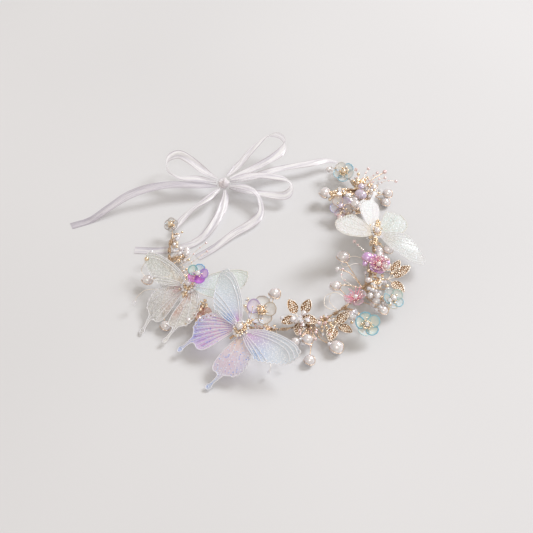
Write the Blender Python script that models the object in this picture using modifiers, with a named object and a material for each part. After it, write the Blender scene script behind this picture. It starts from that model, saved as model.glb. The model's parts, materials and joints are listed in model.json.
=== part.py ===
"""A flower crown. A gilt wire hoop, open at the back, carries three film butterflies, nine beaded flowers,
pearls and pierced leaf sprigs, each on its own stem wire. A ribbon tied in a bow closes the back.

Metres, +Z up. The crown lies flat with its front towards -Y. Inside the script, positions are measured from
the centre of the hoop's circle, and one empty then moves the whole crown so that the origin is under the
middle of the finished headpiece, on the surface that it lies on."""

import math

import bmesh
import bpy
from mathutils import Matrix, Vector

MM = 0.001
UP = Vector((0, 0, 1))
GAP = 0.35 * MM  # left between pieces that touch

# The hoop: angles run anticlockwise from +X, and the opening is at the back left.
HOOP_RADIUS = 80 * MM
HOOP_LEFT_END = -191
HOOP_RIGHT_END = 58
HOOP_FLARE = 30 * MM  # how far the right end stands out from the circle
HOOP_HEIGHT = 6 * MM
WIRE_RADIUS = 0.95 * MM
EYELET_RADIUS = 2.7 * MM  # to the middle of the wire
EYELET_TURN = 250
STEM_RADIUS = 0.6 * MM

# From the hoop's centre to the middle of the finished crown.
CROWN_MIDDLE = Vector((8.8, -19.5, 0)) * MM

RIBBON_WIDTH = 7 * MM
RIBBON_THICKNESS = 0.5 * MM
RIBBON_STEP = 5 * MM
RIBBON_GATHER = 0.34  # width at the knot, as a share of the full width
RIBBON_GATHER_LENGTH = 16 * MM
KNOT_PLACE = Vector((-39, 69, 12)) * MM
KNOT_SIZE = Vector((5.4, 4.6, 4.6)) * MM  # half lengths

WING_THICKNESS = 0.5 * MM
WING_STEP_DOWN = 1.1 * MM  # the hindwing lies this far under the forewing
HINGE_OFFSET = 1.9 * MM  # from the body's middle to each wing's hinge
BODY_PEARL_RADIUS = 2.5 * MM

PETAL_THICKNESS = 0.8 * MM
PETAL_STEPS = 6  # straight edges round each petal
LEAF_THICKNESS = 0.6 * MM

# Right-hand wing outlines in millimetres, with the body along Y and its head towards +Y.
FOREWING = [
    (2.6, 1), (8, 9), (18, 17.5), (30, 23.5), (40, 25.5), (46, 23), (47, 18), (44, 11), (38, 5),
    (33, -0.5), (28, -5), (20, -5.5), (11, -4), (4, -2),
]
HINDWING = [
    (2.6, -1), (13, -2.5), (23, -8), (28, -15), (27, -24), (22.5, -31), (20.5, -38), (21, -46),
    (18.5, -48), (16.5, -45), (15, -36), (9, -29.5), (5, -17),
]
BODY_PROFILE = [
    (0, 9.4), (1.0, 8.9), (1.45, 7.6), (1.1, 6.2), (1.6, 4), (1.75, 0.5), (1.5, -3), (1.2, -6.5), (0.7, -9), (0, -9.8),
]

# Name: angle on the hoop, distance out from the wire and height of the body in millimetres, heading, nose-up
# tilt and roll in degrees, how far the left and the right wings are raised in degrees, and size.
BUTTERFLIES = {
    "left_butterfly": (-141.3, -1, 19.4, 62, 18.5, -5, -3.5, -6, 1.0),
    "front_butterfly": (-103.7, 15.5, 21.8, 33, 23, 2, 6, -4, 1.0),
    "right_butterfly": (4, 1.5, 19.5, -100, -1, -8, -3.5, 31, 0.85),
}
# Wings that aren't set like their mirror twins: share of the full size, and the turns of the forewing and the
# hindwing in their own plane, in degrees anticlockwise. This pair tucks under the front butterfly.
TUCKED_WINGS = {("left_butterfly", "right"): (0.86, 10, -12)}

# Name: place from the hoop's centre and petal radius in millimetres, number of petals, the compass direction
# that the flower leans to, how far it leans from upright, its depth in millimetres, and its foot on the hoop.
FLOWERS = {
    "iridescent_flower": ((-55, -45, 28), 8, 5, -90, 25, 2.5, -150),
    "clear_flower": ((-8, -72, 18), 11, 5, -80, 30, 3, -93),
    "blue_flower": ((69, -81, 12), 10, 5, -60, 25, 3, -47),
    "pink_flower": ((63, -60, 16), 9, 6, 150, 20, 4, -41),
    "purple_flower": ((81, -27, 18), 9, 5, -90, 25, 3, -20),
    "green_flower": ((90, -56, 12), 9, 5, -40, 25, 3, -31),
    "aqua_flower": ((60, 79, 14), 10, 5, -120, 25, 3, 50),
    "glass_flower": ((56, 41, 12), 9, 5, -120, 25, 3, 29),
    "crystal_flower": ((-79, 20, 13), 6, 6, -110, 25, 2, -190),
}
FLOWER_CENTRE_RADIUS = 2.3 * MM
# A wire that leaves a flower's stem to hold a pearl: its middle point in millimetres, and the pearl.
FLOWER_BRANCHES = {"clear_flower": ((-6, -63, 11), "pearl_inner_left")}

# Name: place from the hoop's centre and radius in millimetres.
PEARLS = {
    "pearl_left": ((-95, -33, 8), 4.2),
    "pearl_lower_left": ((-79, -75, 4), 4),
    "pearl_front_large": ((47, -96, 5.2), 5.2),
    "pearl_front_small": ((27, -107, 4), 4),
    "pearl_inner_left": ((2, -54, 16), 4.4),
    "pearl_inner_right": ((55, -13, 12), 5),
    "pearl_back": ((93, 55, 3.6), 3.6),
}

# Name: foot on the hoop, the stem's fork, and the leaves as base and tip points, in millimetres.
LEAF_SPRIGS = {
    "leaf_sprig_front": (-75, (20, -72, 9), [
        ((18, -69, 10), (12, -59, 17)), ((23, -69, 10), (28, -58, 17)), ((17, -74, 9), (8, -78, 9)),
        ((24, -74, 9), (33, -77, 8)), ((20, -76, 8), (19, -87, 6)),
    ]),
    "leaf_sprig_side": (-60, (47, -77, 8), [
        ((49, -76, 9), (57, -69, 14)), ((46, -80, 8), (43, -92, 7)), ((50, -79, 8), (57, -88, 8)),
    ]),
    "leaf_sprig_right": (-24, (88, -35, 11), [
        ((92, -33, 11), (106, -22, 14)), ((91, -38, 11), (99, -47, 10)), ((90, -31, 12), (96, -19, 15)),
    ]),
}
LEAF_WIDTH = 0.62  # of a leaf's length

# Name: foot on the hoop, then each branch's points and the radius of the bead on its end, in millimetres. A
# branch with no bead ends at the pearl that it holds.
SPRAYS = {
    "spray_left_wire": (-160, [
        ([(-84, -30, 8), "pearl_left"], 0), ([(-82, -52, 5), "pearl_lower_left"], 0),
        ([(-77, -22, 10), (-70, -12, 11), (-66, -4, 10)], 2.6), ([(-86, -14, 9), (-93, -8, 12)], 1.8),
    ]),
    "spray_front_wire": (-67, [
        ([(35, -88, 6), "pearl_front_large"], 0), ([(29, -92, 7), "pearl_front_small"], 0),
        ([(25, -85, 8), (17, -93, 8)], 3.2),
    ]),
    "spray_inner_wire": (-30, [
        ([(62, -26, 9), "pearl_inner_right"], 0), ([(57, -40, 10), (47, -43, 12)], 3.8),
        ([(60, -32, 14), (50, -30, 17)], 1.8),
    ]),
    "spray_top_wire": (38, [
        ([(82, 62, 5), "pearl_back"], 0), ([(74, 64, 10), (62, 62, 11), (44, 60, 11)], 3.8),
        ([(80, 68, 14), (93, 78, 16)], 1.8), ([(78, 56, 12), (73, 50, 17)], 3.6),
    ]),
}

# Each ribbon's own points, in millimetres from the hoop's centre, and its lean there in degrees: 0 lies flat
# and 90 stands on its edge.
TIE_LEFT = [(-77, 21, 7, 0), (-71, 32, 8, 10), (-62, 43, 10, 25), (-51, 53, 11, 10), (-42, 64, 11, 0)]
TIE_RIGHT = [(56, 99, 7, 0), (46, 99.5, 9, 0), (32, 94, 11, 0), (7, 87, 11, 0), (-16, 77, 11, 0), (-33.5, 71, 11, 0)]
LOOP_LEFT = [
    (-44, 72, 14, 0), (-54, 77.5, 16, 0), (-67, 90, 18, 20), (-77, 96, 19, 60), (-85.5, 90, 19, 90), (-85, 80, 17, 80),
    (-76, 73, 15, 30), (-62, 72, 14, 0), (-45, 70, 12.5, 0),
]
LOOP_UPPER = [
    (-36, 74, 15, 0), (-26, 86, 17, 10), (-15, 103, 20, 20), (-4, 115, 22, 50), (6, 116.5, 22, 80),
    (11.5, 109, 21, 90), (8, 99, 19, 40), (-8, 86.5, 16.5, 0), (-34, 72.5, 13.6, 0),
]
LOOP_LOWER = [
    (-33, 69.5, 15.5, 0), (-14, 73, 17, 0), (4, 71, 17, 0), (14.5, 67, 16, 40), (16.5, 60, 14, 70), (10, 55.5, 11, 30),
    (-7, 60, 8.5, 0), (-34, 67, 8.5, 0),
]
TAIL_LONG = [
    (-44.5, 67, 10.6, 0), (-60, 67, 12, 0), (-80, 65, 14.5, 10), (-99, 60, 15, 20), (-115, 54.5, 12.5, 20),
    (-130, 46.5, 7.5, 10), (-142, 40, 2.4, 0), (-149, 36.5, 0.25, 0), (-155, 34, 0.25, 0), (-161, 31.5, 0.25, 0),
]
TAIL_FRONT = [
    (-38, 63.8, 9.5, 0), (-37.5, 56, 9, 10), (-40, 44, 6.5, 20), (-48, 27, 3.5, 10), (-57, 15, 1.6, 0),
    (-70, 8, 0.8, 0), (-88, 4.5, 0.4, 0), (-108, 5, 0.4, 0),
]
TAIL_CURL = [
    (-34, 66, 12, 0), (-23, 63.5, 13.5, 0), (-14, 59, 13, 20), (-8.5, 50, 9.5, 50), (-9, 39, 6, 50), (-17, 30, 4, 20),
    (-30, 20.5, 2.6, 0), (-45, 7, 1.2, 0), (-58, -3, 0.5, 0),
]
# Name: points, and whether the start and the end are gathered into the knot.
RIBBONS = {
    "tie_ribbon_left": (TIE_LEFT, True, True),
    "tie_ribbon_right": (TIE_RIGHT, True, True),
    "bow_loop_left": (LOOP_LEFT, True, True),
    "bow_loop_upper": (LOOP_UPPER, True, True),
    "bow_loop_lower": (LOOP_LOWER, True, True),
    "ribbon_tail_long": (TAIL_LONG, True, False),
    "ribbon_tail_front": (TAIL_FRONT, True, False),
    "ribbon_tail_curl": (TAIL_CURL, True, False),
}

# Colour, roughness, metallic value and alpha of each material.
FINISHES = {
    "gilt_wire": ((0.70, 0.50, 0.30), 0.3, 1.0, 1.0),
    "gilt_leaf": ((0.80, 0.58, 0.36), 0.35, 1.0, 1.0),
    "satin_ribbon": ((0.90, 0.88, 0.90), 0.45, 0.0, 1.0),
    "pearl": ((0.93, 0.90, 0.88), 0.2, 0.0, 1.0),
    "ivory_film": ((0.90, 0.92, 0.88), 0.25, 0.0, 0.85),
    "opal_film": ((0.78, 0.80, 0.92), 0.25, 0.0, 0.85),
    "pale_petal": ((0.92, 0.92, 0.94), 0.15, 0.0, 0.7),
    "blue_petal": ((0.60, 0.80, 0.88), 0.15, 0.0, 0.8),
    "pink_petal": ((0.88, 0.62, 0.80), 0.15, 0.0, 0.8),
    "crystal": ((0.90, 0.92, 0.95), 0.05, 0.0, 0.6),
}
FLOWER_FINISHES = {
    "iridescent_flower": "pink_petal",
    "clear_flower": "pale_petal",
    "blue_flower": "blue_petal",
    "pink_flower": "pink_petal",
    "purple_flower": "pink_petal",
    "green_flower": "blue_petal",
    "aqua_flower": "blue_petal",
    "glass_flower": "pale_petal",
    "crystal_flower": "crystal",
}


# --- scene, materials and small helpers


def clear_scene():
    for obj in list(bpy.data.objects):
        bpy.data.objects.remove(obj, do_unlink=True)


def new_collection(name):
    collection = bpy.data.collections.new(name)
    bpy.context.scene.collection.children.link(collection)
    return collection


def finish(name):
    """The material of this name, made the first time that it is asked for."""
    if name in bpy.data.materials:
        return bpy.data.materials[name]
    colour, roughness, metallic, alpha = FINISHES[name]
    material = bpy.data.materials.new(name)
    material.use_nodes = True
    shader = material.node_tree.nodes["Principled BSDF"]
    shader.inputs["Base Color"].default_value = (*colour, 1)
    shader.inputs["Roughness"].default_value = roughness
    shader.inputs["Metallic"].default_value = metallic
    shader.inputs["Alpha"].default_value = alpha
    return material


def place(obj, collection, parent, material):
    """Links an object to the model, under its parent and with its finish."""
    collection.objects.link(obj)
    obj.parent = parent
    if material:
        obj.data.materials.append(finish(material))
    return obj


def new_empty(name, parent, location=(0, 0, 0)):
    empty = bpy.data.objects.new(name, None)
    empty.empty_display_size = 10 * MM
    empty.location = location
    return place(empty, crown, parent, None)


def mesh_object(name, bm, parent, material, collection=None):
    mesh = bpy.data.meshes.new(name)
    bm.to_mesh(mesh)
    bm.free()
    mesh.shade_smooth()
    return place(bpy.data.objects.new(name, mesh), collection or crown, parent, material)


def smooth_route(points, step):
    """Points about one step apart on a smooth curve through the given ones, which may carry further values."""
    rows = [Vector(point) for point in points]
    rows = [2 * rows[0] - rows[1], *rows, 2 * rows[-1] - rows[-2]]
    route = [rows[1]]
    for before, start, end, after in zip(rows, rows[1:], rows[2:], rows[3:]):
        count = max(1, round((end.to_3d() - start.to_3d()).length / step))
        for k in range(1, count + 1):
            t = k / count
            pull = (end - before) * t + (2 * before - 5 * start + 4 * end - after) * t**2
            route.append(start + (pull + (3 * start - before - 3 * end + after) * t**3) / 2)
    return route


def tube(name, points, radius, parent, material, sides_level=1, collection=None):
    """A round wire through the points, closed at both ends."""
    curve = bpy.data.curves.new(name, "CURVE")
    curve.dimensions = "3D"
    curve.bevel_depth = radius
    curve.bevel_resolution = sides_level
    curve.use_fill_caps = True
    spline = curve.splines.new("POLY")
    spline.points.add(len(points) - 1)
    for point, place_on_wire in zip(spline.points, points):
        point.co = (*place_on_wire, 1)
    return place(bpy.data.objects.new(name, curve), collection or crown, parent, material)


def as_mesh(obj):
    """The same solid as a mesh, which a Boolean modifier can read."""
    bpy.context.view_layer.update()
    mesh = bpy.data.meshes.new_from_object(obj.evaluated_get(bpy.context.evaluated_depsgraph_get()))
    bm = bmesh.new()
    bm.from_mesh(mesh)
    bmesh.ops.remove_doubles(bm, verts=bm.verts, dist=0.01 * MM)
    bm.to_mesh(mesh)
    bm.free()
    name = obj.name
    solid = bpy.data.objects.new(name + "_solid", mesh)
    guides.objects.link(solid)
    solid.matrix_world = obj.matrix_world.copy()
    bpy.data.objects.remove(obj, do_unlink=True)
    return solid


def fuse(base, others):
    """Joins the other solids to the base with a union each. They stay as hidden guides."""
    for other in others:
        if other.name not in guides.objects:
            guides.objects.link(other)
            crown.objects.unlink(other)
        other.hide_render = True
        other.display_type = "WIRE"
        join = base.modifiers.new("join " + other.name, "BOOLEAN")
        join.operation = "UNION"
        join.object = other


def sphere(name, centre, radius, parent, material, rings=8, collection=None):
    bm = bmesh.new()
    bmesh.ops.create_uvsphere(bm, u_segments=rings * 3 // 2, v_segments=rings, radius=radius)
    ball = mesh_object(name, bm, parent, material, collection)
    ball.location = centre
    return ball


def outline_plate(name, points, thickness, parent, material):
    """A flat plate with a smooth outline, drawn in its own XY plane."""
    curve = bpy.data.curves.new(name, "CURVE")
    curve.dimensions = "2D"
    curve.fill_mode = "BOTH"
    curve.extrude = thickness / 2
    curve.resolution_u = 3
    spline = curve.splines.new("BEZIER")
    spline.bezier_points.add(len(points) - 1)
    spline.use_cyclic_u = True
    for point, (x, y) in zip(spline.bezier_points, points):
        point.co = (x, y, 0)
        point.handle_left_type = "AUTO"
        point.handle_right_type = "AUTO"
    spline.bezier_points[0].handle_left_type = "VECTOR"  # the root, which is a sharp corner
    spline.bezier_points[0].handle_right_type = "VECTOR"
    return place(bpy.data.objects.new(name, curve), crown, parent, material)


# --- the hoop


def hoop_radius(angle):
    """A circle whose right-hand end opens outwards."""
    return HOOP_RADIUS + HOOP_FLARE * (max(angle, 0) / HOOP_RIGHT_END) ** 2


def on_hoop(angle, out=0.0, height=HOOP_HEIGHT):
    turn = math.radians(angle)
    radius = hoop_radius(angle) + out
    return Vector((radius * math.cos(turn), radius * math.sin(turn), height))


def eyelet(end, before, side):
    """The points of the small open hook that the wire's end is bent into."""
    along = (end - before).normalized()
    across = along.cross(UP) * side
    middle = end + across * EYELET_RADIUS
    steps = EYELET_TURN // 25
    turns = [math.radians(EYELET_TURN * k / steps) for k in range(1, steps + 1)]
    return [middle + EYELET_RADIUS * (along * math.sin(turn) - across * math.cos(turn)) for turn in turns]


def make_hoop(parent):
    arc = [on_hoop(angle) for angle in range(HOOP_LEFT_END, HOOP_RIGHT_END + 1, 4)]
    left = eyelet(arc[0], arc[1], 1)
    right = eyelet(arc[-1], arc[-2], -1)
    tube("base_wire", left[::-1] + arc + right, WIRE_RADIUS, parent, "gilt_wire")


def stem_foot(angle, toward):
    """Where a stem starts, just clear of the wire and square to it, on the side that it leaves by."""
    root = on_hoop(angle)
    away = toward - root
    away -= away.project(on_hoop(angle + 1) - on_hoop(angle - 1))
    return root + away.normalized() * (WIRE_RADIUS + STEM_RADIUS + GAP)


def stem_points(foot_angle, target, approach):
    """A stem from the hoop to the target, which it reaches along the approach direction."""
    bend = target + approach * (target - on_hoop(foot_angle)).length / 3
    return [stem_foot(foot_angle, bend), bend, target]


# --- ribbons


def make_ribbon(name, points, gathered_start, gathered_end, parent):
    rows = [(x * MM, y * MM, z * MM, math.radians(lean)) for x, y, z, lean in points]
    route = smooth_route(rows, RIBBON_STEP)
    curve = bpy.data.curves.new(name, "CURVE")
    curve.dimensions = "3D"
    curve.twist_mode = "Z_UP"
    curve.extrude = (RIBBON_WIDTH - RIBBON_THICKNESS) / 2
    curve.bevel_depth = RIBBON_THICKNESS / 2
    curve.bevel_resolution = 0
    curve.use_fill_caps = True
    spline = curve.splines.new("POLY")
    spline.points.add(len(route) - 1)
    for point, row in zip(spline.points, route):
        point.co = (*row[:3], 1)
        point.tilt = math.radians(90) - row[3]
        from_start = (row.to_3d() - route[0].to_3d()).length / RIBBON_GATHER_LENGTH
        from_end = (row.to_3d() - route[-1].to_3d()).length / RIBBON_GATHER_LENGTH
        spread = min(from_start if gathered_start else 1, from_end if gathered_end else 1, 1)
        point.radius = RIBBON_GATHER + (1 - RIBBON_GATHER) * math.sin(spread * math.pi / 2)
    place(bpy.data.objects.new(name, curve), crown, parent, "satin_ribbon")


def make_bow(parent):
    knot = sphere("bow_knot", KNOT_PLACE, 1, parent, "satin_ribbon", 10)
    knot.data.transform(Matrix.Diagonal((*KNOT_SIZE, 1)))
    for name, (points, gathered_start, gathered_end) in RIBBONS.items():
        make_ribbon(name, points, gathered_start, gathered_end, parent)


# --- butterflies


def make_wing(name, outline, side, size, sweep, drop, hinge, material):
    """One wing in its hinge's frame, which stands at the wing root."""
    root = Vector(outline[0])
    swept = [root + Matrix.Rotation(math.radians(sweep), 2) @ (Vector(point) - root) for point in outline]
    points = [((x * size * MM - HINGE_OFFSET) * side, y * size * MM) for x, y in swept]
    wing = outline_plate(name, points, WING_THICKNESS, hinge, material)
    wing.location.z = -drop


def make_body(name, perch, parent, foot_angle, place_in_crown):
    """The turned body with the stalk that joins it to the hoop."""
    bm = bmesh.new()
    verts = [bm.verts.new((radius * MM, 0, along * MM)) for radius, along in BODY_PROFILE]
    for start, end in zip(verts, verts[1:]):
        bm.edges.new((start, end))
    body = mesh_object(name, bm, perch, "gilt_leaf")
    body.rotation_euler.x = math.radians(-90)
    turned = body.modifiers.new("turn", "SCREW")
    turned.steps = 12
    turned.render_steps = 12
    turned.use_merge_vertices = True
    turned.merge_threshold = 0.01 * MM
    points = stem_points(foot_angle, place_in_crown, -UP)
    fuse(body, [as_mesh(tube(name + "_stalk", points, STEM_RADIUS * 1.3, parent, None))])


def make_butterfly(name, parent):
    angle, out, height, heading, nose_up, roll, raise_left, raise_right, size = BUTTERFLIES[name]
    middle = on_hoop(angle, out * MM, height * MM)
    perch = new_empty(name, parent, middle)
    perch.rotation_mode = "YXZ"
    perch.rotation_euler = [math.radians(turn) for turn in (nose_up, roll, heading - 90)]
    perch.scale = (size, size, size)
    make_body(name + "_body", perch, parent, angle, middle)
    pearl_height = (BODY_PROFILE[5][0] * MM) + GAP + BODY_PEARL_RADIUS
    sphere(name + "_pearl", (0, 1 * MM, pearl_height), BODY_PEARL_RADIUS, perch, "pearl", 8)
    film = "opal_film" if name == "front_butterfly" else "ivory_film"
    for word, side, raised in (("left", -1, raise_left), ("right", 1, raise_right)):
        hinge = new_empty(f"{name}_hinge_{word}", perch, (side * HINGE_OFFSET, 0, 0))
        hinge.rotation_euler.y = math.radians(-side * raised)
        share, fore_sweep, hind_sweep = TUCKED_WINGS.get((name, word), (1, 0, 0))
        make_wing(f"{name}_forewing_{word}", FOREWING, side, share, fore_sweep, 0, hinge, film)
        make_wing(f"{name}_hindwing_{word}", HINDWING, side, share, hind_sweep, WING_STEP_DOWN, hinge, film)


# --- flowers, pearls, leaves and sprays


def make_flower(name, parent):
    spot, radius, petals, lean_to, lean, depth, foot_angle = FLOWERS[name]
    centre = Vector(spot) * MM
    facing = Matrix.Rotation(math.radians(lean_to), 4, "Z") @ Matrix.Rotation(math.radians(lean), 4, "Y")
    bm = bmesh.new()
    bmesh.ops.create_circle(bm, cap_ends=True, cap_tris=True, segments=petals * PETAL_STEPS, radius=radius * MM)
    for vert in bm.verts:
        reach = vert.co.length / (radius * MM)
        lobe = 0.62 + 0.38 * abs(math.cos(math.atan2(vert.co.y, vert.co.x) * petals / 2))
        vert.co *= lobe
        vert.co.z = depth * MM * (reach * lobe) ** 2
    petal_ring = mesh_object(name + "_petals", bm, parent, FLOWER_FINISHES[name])
    petal_ring.matrix_local = Matrix.Translation(centre) @ facing
    shell = petal_ring.modifiers.new("thickness", "SOLIDIFY")
    shell.thickness = PETAL_THICKNESS
    shell.offset = 0
    normal = facing.to_3x3() @ UP
    route = stem_points(foot_angle, centre, -normal)
    parts = [as_mesh(tube(name + "_stem", route, STEM_RADIUS, parent, None))]
    if name in FLOWER_BRANCHES:
        middle, pearl = FLOWER_BRANCHES[name]
        branch = [route[1], Vector(middle) * MM]
        branch.append(pearl_surface(pearl, branch[1]))
        parts.append(as_mesh(tube(name + "_branch", branch, STEM_RADIUS * 0.8, parent, None)))
    fuse(petal_ring, parts)
    lift = PETAL_THICKNESS / 2 + GAP + FLOWER_CENTRE_RADIUS
    sphere(name + "_centre", centre + normal * lift, FLOWER_CENTRE_RADIUS, parent, "pearl", 6)


def make_pearls(parent):
    for name, (spot, radius) in PEARLS.items():
        sphere(name, Vector(spot) * MM, radius * MM, parent, "pearl", 8)


def pearl_surface(name, seen_from):
    """The point just clear of a pearl, on the side that faces a given point."""
    spot, radius = PEARLS[name]
    centre = Vector(spot) * MM
    return centre + (seen_from - centre).normalized() * (radius * MM + GAP)


def make_leaf(name, base, tip, parent):
    along = (tip - base).normalized()
    across = along.cross(UP).normalized()
    length = (tip - base).length
    half = LEAF_WIDTH / 2
    shape = [(0, 0), (half * 0.75, 0.25), (half, 0.55), (half * 0.55, 0.85), (0, 1)]
    shape += [(-x, y) for x, y in shape[-2:0:-1]]
    leaf = outline_plate(name, [(x * length, y * length) for x, y in shape], LEAF_THICKNESS, parent, "gilt_leaf")
    leaf.data.resolution_u = 2
    turn = Matrix((across, along, across.cross(along))).transposed()
    leaf.matrix_local = Matrix.Translation(base) @ turn.to_4x4()
    return leaf


def make_leaf_sprig(name, parent):
    foot_angle, fork_spot, leaves = LEAF_SPRIGS[name]
    fork = Vector(fork_spot) * MM
    stem = as_mesh(tube(name + "_stem", [stem_foot(foot_angle, fork), fork], STEM_RADIUS * 1.2, parent, None))
    parts = []
    for index, (base_spot, tip_spot) in enumerate(leaves):
        base, tip = Vector(base_spot) * MM, Vector(tip_spot) * MM
        twig = [fork, base, base.lerp(tip, 0.45)]
        parts.append(as_mesh(tube(f"{name}_twig_{index}", twig, STEM_RADIUS, parent, None)))
        parts.append(as_mesh(make_leaf(f"{name}_leaf_{index}", base, tip, parent)))
    claim(stem, name, parent, "gilt_leaf")
    fuse(stem, parts)


def claim(solid, name, parent, material):
    """Makes a guide solid into the piece itself."""
    guides.objects.unlink(solid)
    solid.name = name
    place(solid, crown, parent, material)
    solid.matrix_parent_inverse = parent.matrix_world.inverted()


def make_spray(name, parent):
    """Thin branches from one foot on the hoop, with beads on their ends, that also hold loose pearls."""
    foot_angle, branches = SPRAYS[name]
    start = stem_foot(foot_angle, Vector(branches[0][0][0]) * MM)
    parts = []
    for index, (spots, bead_radius) in enumerate(branches):
        points = [start] + [Vector(spot) * MM for spot in spots if not isinstance(spot, str)]
        if isinstance(spots[-1], str):
            points.append(pearl_surface(spots[-1], points[-1]))
        parts.append(as_mesh(tube(f"{name}_{index}", points, STEM_RADIUS, parent, None)))
        if bead_radius:
            bead = sphere(f"{name}_bead_{index}", points[-1], bead_radius * MM, parent, None, 6)
            parts.append(as_mesh(bead))
    base = parts.pop(0)
    claim(base, name, parent, "gilt_wire")
    fuse(base, parts)


clear_scene()
crown = new_collection("flower_crown")
guides = new_collection("guides")
guides.hide_render = True
origin = new_empty("crown_origin", None, -CROWN_MIDDLE)
bpy.context.view_layer.update()
make_hoop(origin)
make_bow(origin)
for butterfly in BUTTERFLIES:
    make_butterfly(butterfly, origin)
for flower in FLOWERS:
    make_flower(flower, origin)
make_pearls(origin)
for sprig in LEAF_SPRIGS:
    make_leaf_sprig(sprig, origin)
for spray in SPRAYS:
    make_spray(spray, origin)
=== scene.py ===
# %% [markdown]
# # A flower crown, piece by piece
#
# A tie-on crown is a craft object: a ring of thin wires, on which small bought pieces are wound one after
# the other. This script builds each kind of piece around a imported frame, which already says where
# everything is. The frame's units are metres. A jeweller thinks in millimetres, so the values below are in
# millimetres and are turned to metres by MM when a point is made.

import json
import math
import random

import bmesh
import bpy
import numpy as np
from mathutils import Matrix, Vector
from mathutils.geometry import delaunay_2d_cdt


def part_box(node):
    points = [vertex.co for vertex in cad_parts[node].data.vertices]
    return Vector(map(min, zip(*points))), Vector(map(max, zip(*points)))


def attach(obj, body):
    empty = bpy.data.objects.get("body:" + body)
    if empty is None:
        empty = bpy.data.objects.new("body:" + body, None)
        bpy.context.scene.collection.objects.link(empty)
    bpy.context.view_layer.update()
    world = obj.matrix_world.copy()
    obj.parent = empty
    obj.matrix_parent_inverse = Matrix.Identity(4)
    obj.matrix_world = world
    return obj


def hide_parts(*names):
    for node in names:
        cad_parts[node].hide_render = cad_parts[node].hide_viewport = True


MM = 0.001
UP = Vector((0, 0, 1))
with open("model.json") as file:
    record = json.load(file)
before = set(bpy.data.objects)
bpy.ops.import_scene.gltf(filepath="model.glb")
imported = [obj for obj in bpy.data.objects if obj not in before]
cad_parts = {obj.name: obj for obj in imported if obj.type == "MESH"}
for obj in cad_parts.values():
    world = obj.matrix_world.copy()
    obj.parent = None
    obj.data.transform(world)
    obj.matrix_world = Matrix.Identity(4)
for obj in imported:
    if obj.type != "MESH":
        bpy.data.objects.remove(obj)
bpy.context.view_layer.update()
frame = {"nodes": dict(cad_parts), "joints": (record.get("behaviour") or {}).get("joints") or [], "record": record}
dice = random.Random(7)  # seeded, so that each run scatters the same way

# %% [markdown]
# ## Where things are
# The crown was designed from the centre of its hoop, and its origin was then moved under the middle of the
# headpiece. One function makes that step, so that every place below can be read as "so many millimetres
# from the middle of the head". The hoop is a circle that opens outwards at its right-hand end.

# %% Places on the crown
CROWN_MIDDLE = Vector((8.8, -19.5, 0))
HOOP_RADIUS = 80
HOOP_LEFT_END = -191
HOOP_RIGHT_END = 58
HOOP_FLARE = 30
HOOP_HEIGHT = 6


def at(x, y, z):
    """A point in metres in the frame, from millimetres measured from the hoop's centre."""
    return (Vector((x, y, z)) - CROWN_MIDDLE) * MM


def on_hoop(angle, out=0.0, height=HOOP_HEIGHT):
    """A point by its angle round the hoop, its distance out from the wire and its height."""
    turn = math.radians(angle)
    radius = HOOP_RADIUS + HOOP_FLARE * (max(angle, 0) / HOOP_RIGHT_END) ** 2 + out
    return at(radius * math.cos(turn), radius * math.sin(turn), height)


def middle_of(node):
    low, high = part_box(node)
    return (Vector(low) + Vector(high)) / 2


def smooth_route(points, step):
    """Points about one step apart on a smooth curve through the given ones, which may carry more values."""
    rows = [Vector(point) for point in points]
    rows = [2 * rows[0] - rows[1], *rows, 2 * rows[-1] - rows[-2]]
    route = [rows[1]]
    for before, start, end, after in zip(rows, rows[1:], rows[2:], rows[3:]):
        count = max(1, round((end.to_3d() - start.to_3d()).length / step))
        for k in range(1, count + 1):
            t = k / count
            pull = (end - before) * t + (2 * before - 5 * start + 4 * end - after) * t**2
            route.append(start + (pull + (3 * start - before - 3 * end + after) * t**3) / 2)
    return route


print("the hoop's front is at", [round(c, 4) for c in on_hoop(-90)])

# %% [markdown]
# ## The camera
# The crown lies on a table and is seen from its front, from 48 degrees above. A long lens of 80 mm keeps
# the far side nearly as large as the near one, as in a catalogue picture.

# %% Camera
VIEW_ELEVATION = math.radians(48)
VIEW_DISTANCE = 0.924
VIEW_TARGET = at(-4, -12, 0)

camera = bpy.data.objects.new("camera", bpy.data.cameras.new("camera"))
camera.data.lens = 80
camera.data.clip_start = 0.05
sight = Vector((0, -math.cos(VIEW_ELEVATION), math.sin(VIEW_ELEVATION)))
camera.location = VIEW_TARGET + VIEW_DISTANCE * sight
camera.rotation_euler.x = math.pi / 2 - VIEW_ELEVATION
bpy.context.scene.collection.objects.link(camera)
bpy.context.scene.camera = camera
print("the camera stands at", [round(c, 3) for c in camera.location])

# %% [markdown]
# ## Colours and nodes
# Colours are picked as sRGB hex values, the way a paint chart gives them, but a renderer adds light in
# linear values, so one function turns them. A second function adds a shader node with its settings and
# links. A socket given another node's output is linked to it, and one given a number or colour keeps that
# value.


# %% Colours and nodes
def linear(code, alpha=1.0):
    """An sRGB hex value such as "#d9b48a" as linear red, green, blue and alpha."""
    parts = [int(code[i : i + 2], 16) / 255 for i in (1, 3, 5)]
    return (*[c / 12.92 if c <= 0.04045 else ((c + 0.055) / 1.055) ** 2.4 for c in parts], alpha)


def add(material, kind, sockets=None, stops=None, **settings):
    """A new shader node, with its settings, its sockets' values or links and, on a ramp, its colour stops."""
    node = material.node_tree.nodes.new("ShaderNode" + kind)
    for name, value in settings.items():
        setattr(node, name, value)
    for name, value in (sockets or {}).items():
        if isinstance(value, bpy.types.NodeSocket):
            material.node_tree.links.new(value, node.inputs[name])
        else:
            node.inputs[name].default_value = value
    if stops:
        ramp = node.color_ramp.elements
        while len(ramp) < len(stops):
            ramp.new(0.5)
        for element, (place, colour) in zip(ramp, stops):
            element.position = place
            element.color = linear(colour)
    return node


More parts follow.
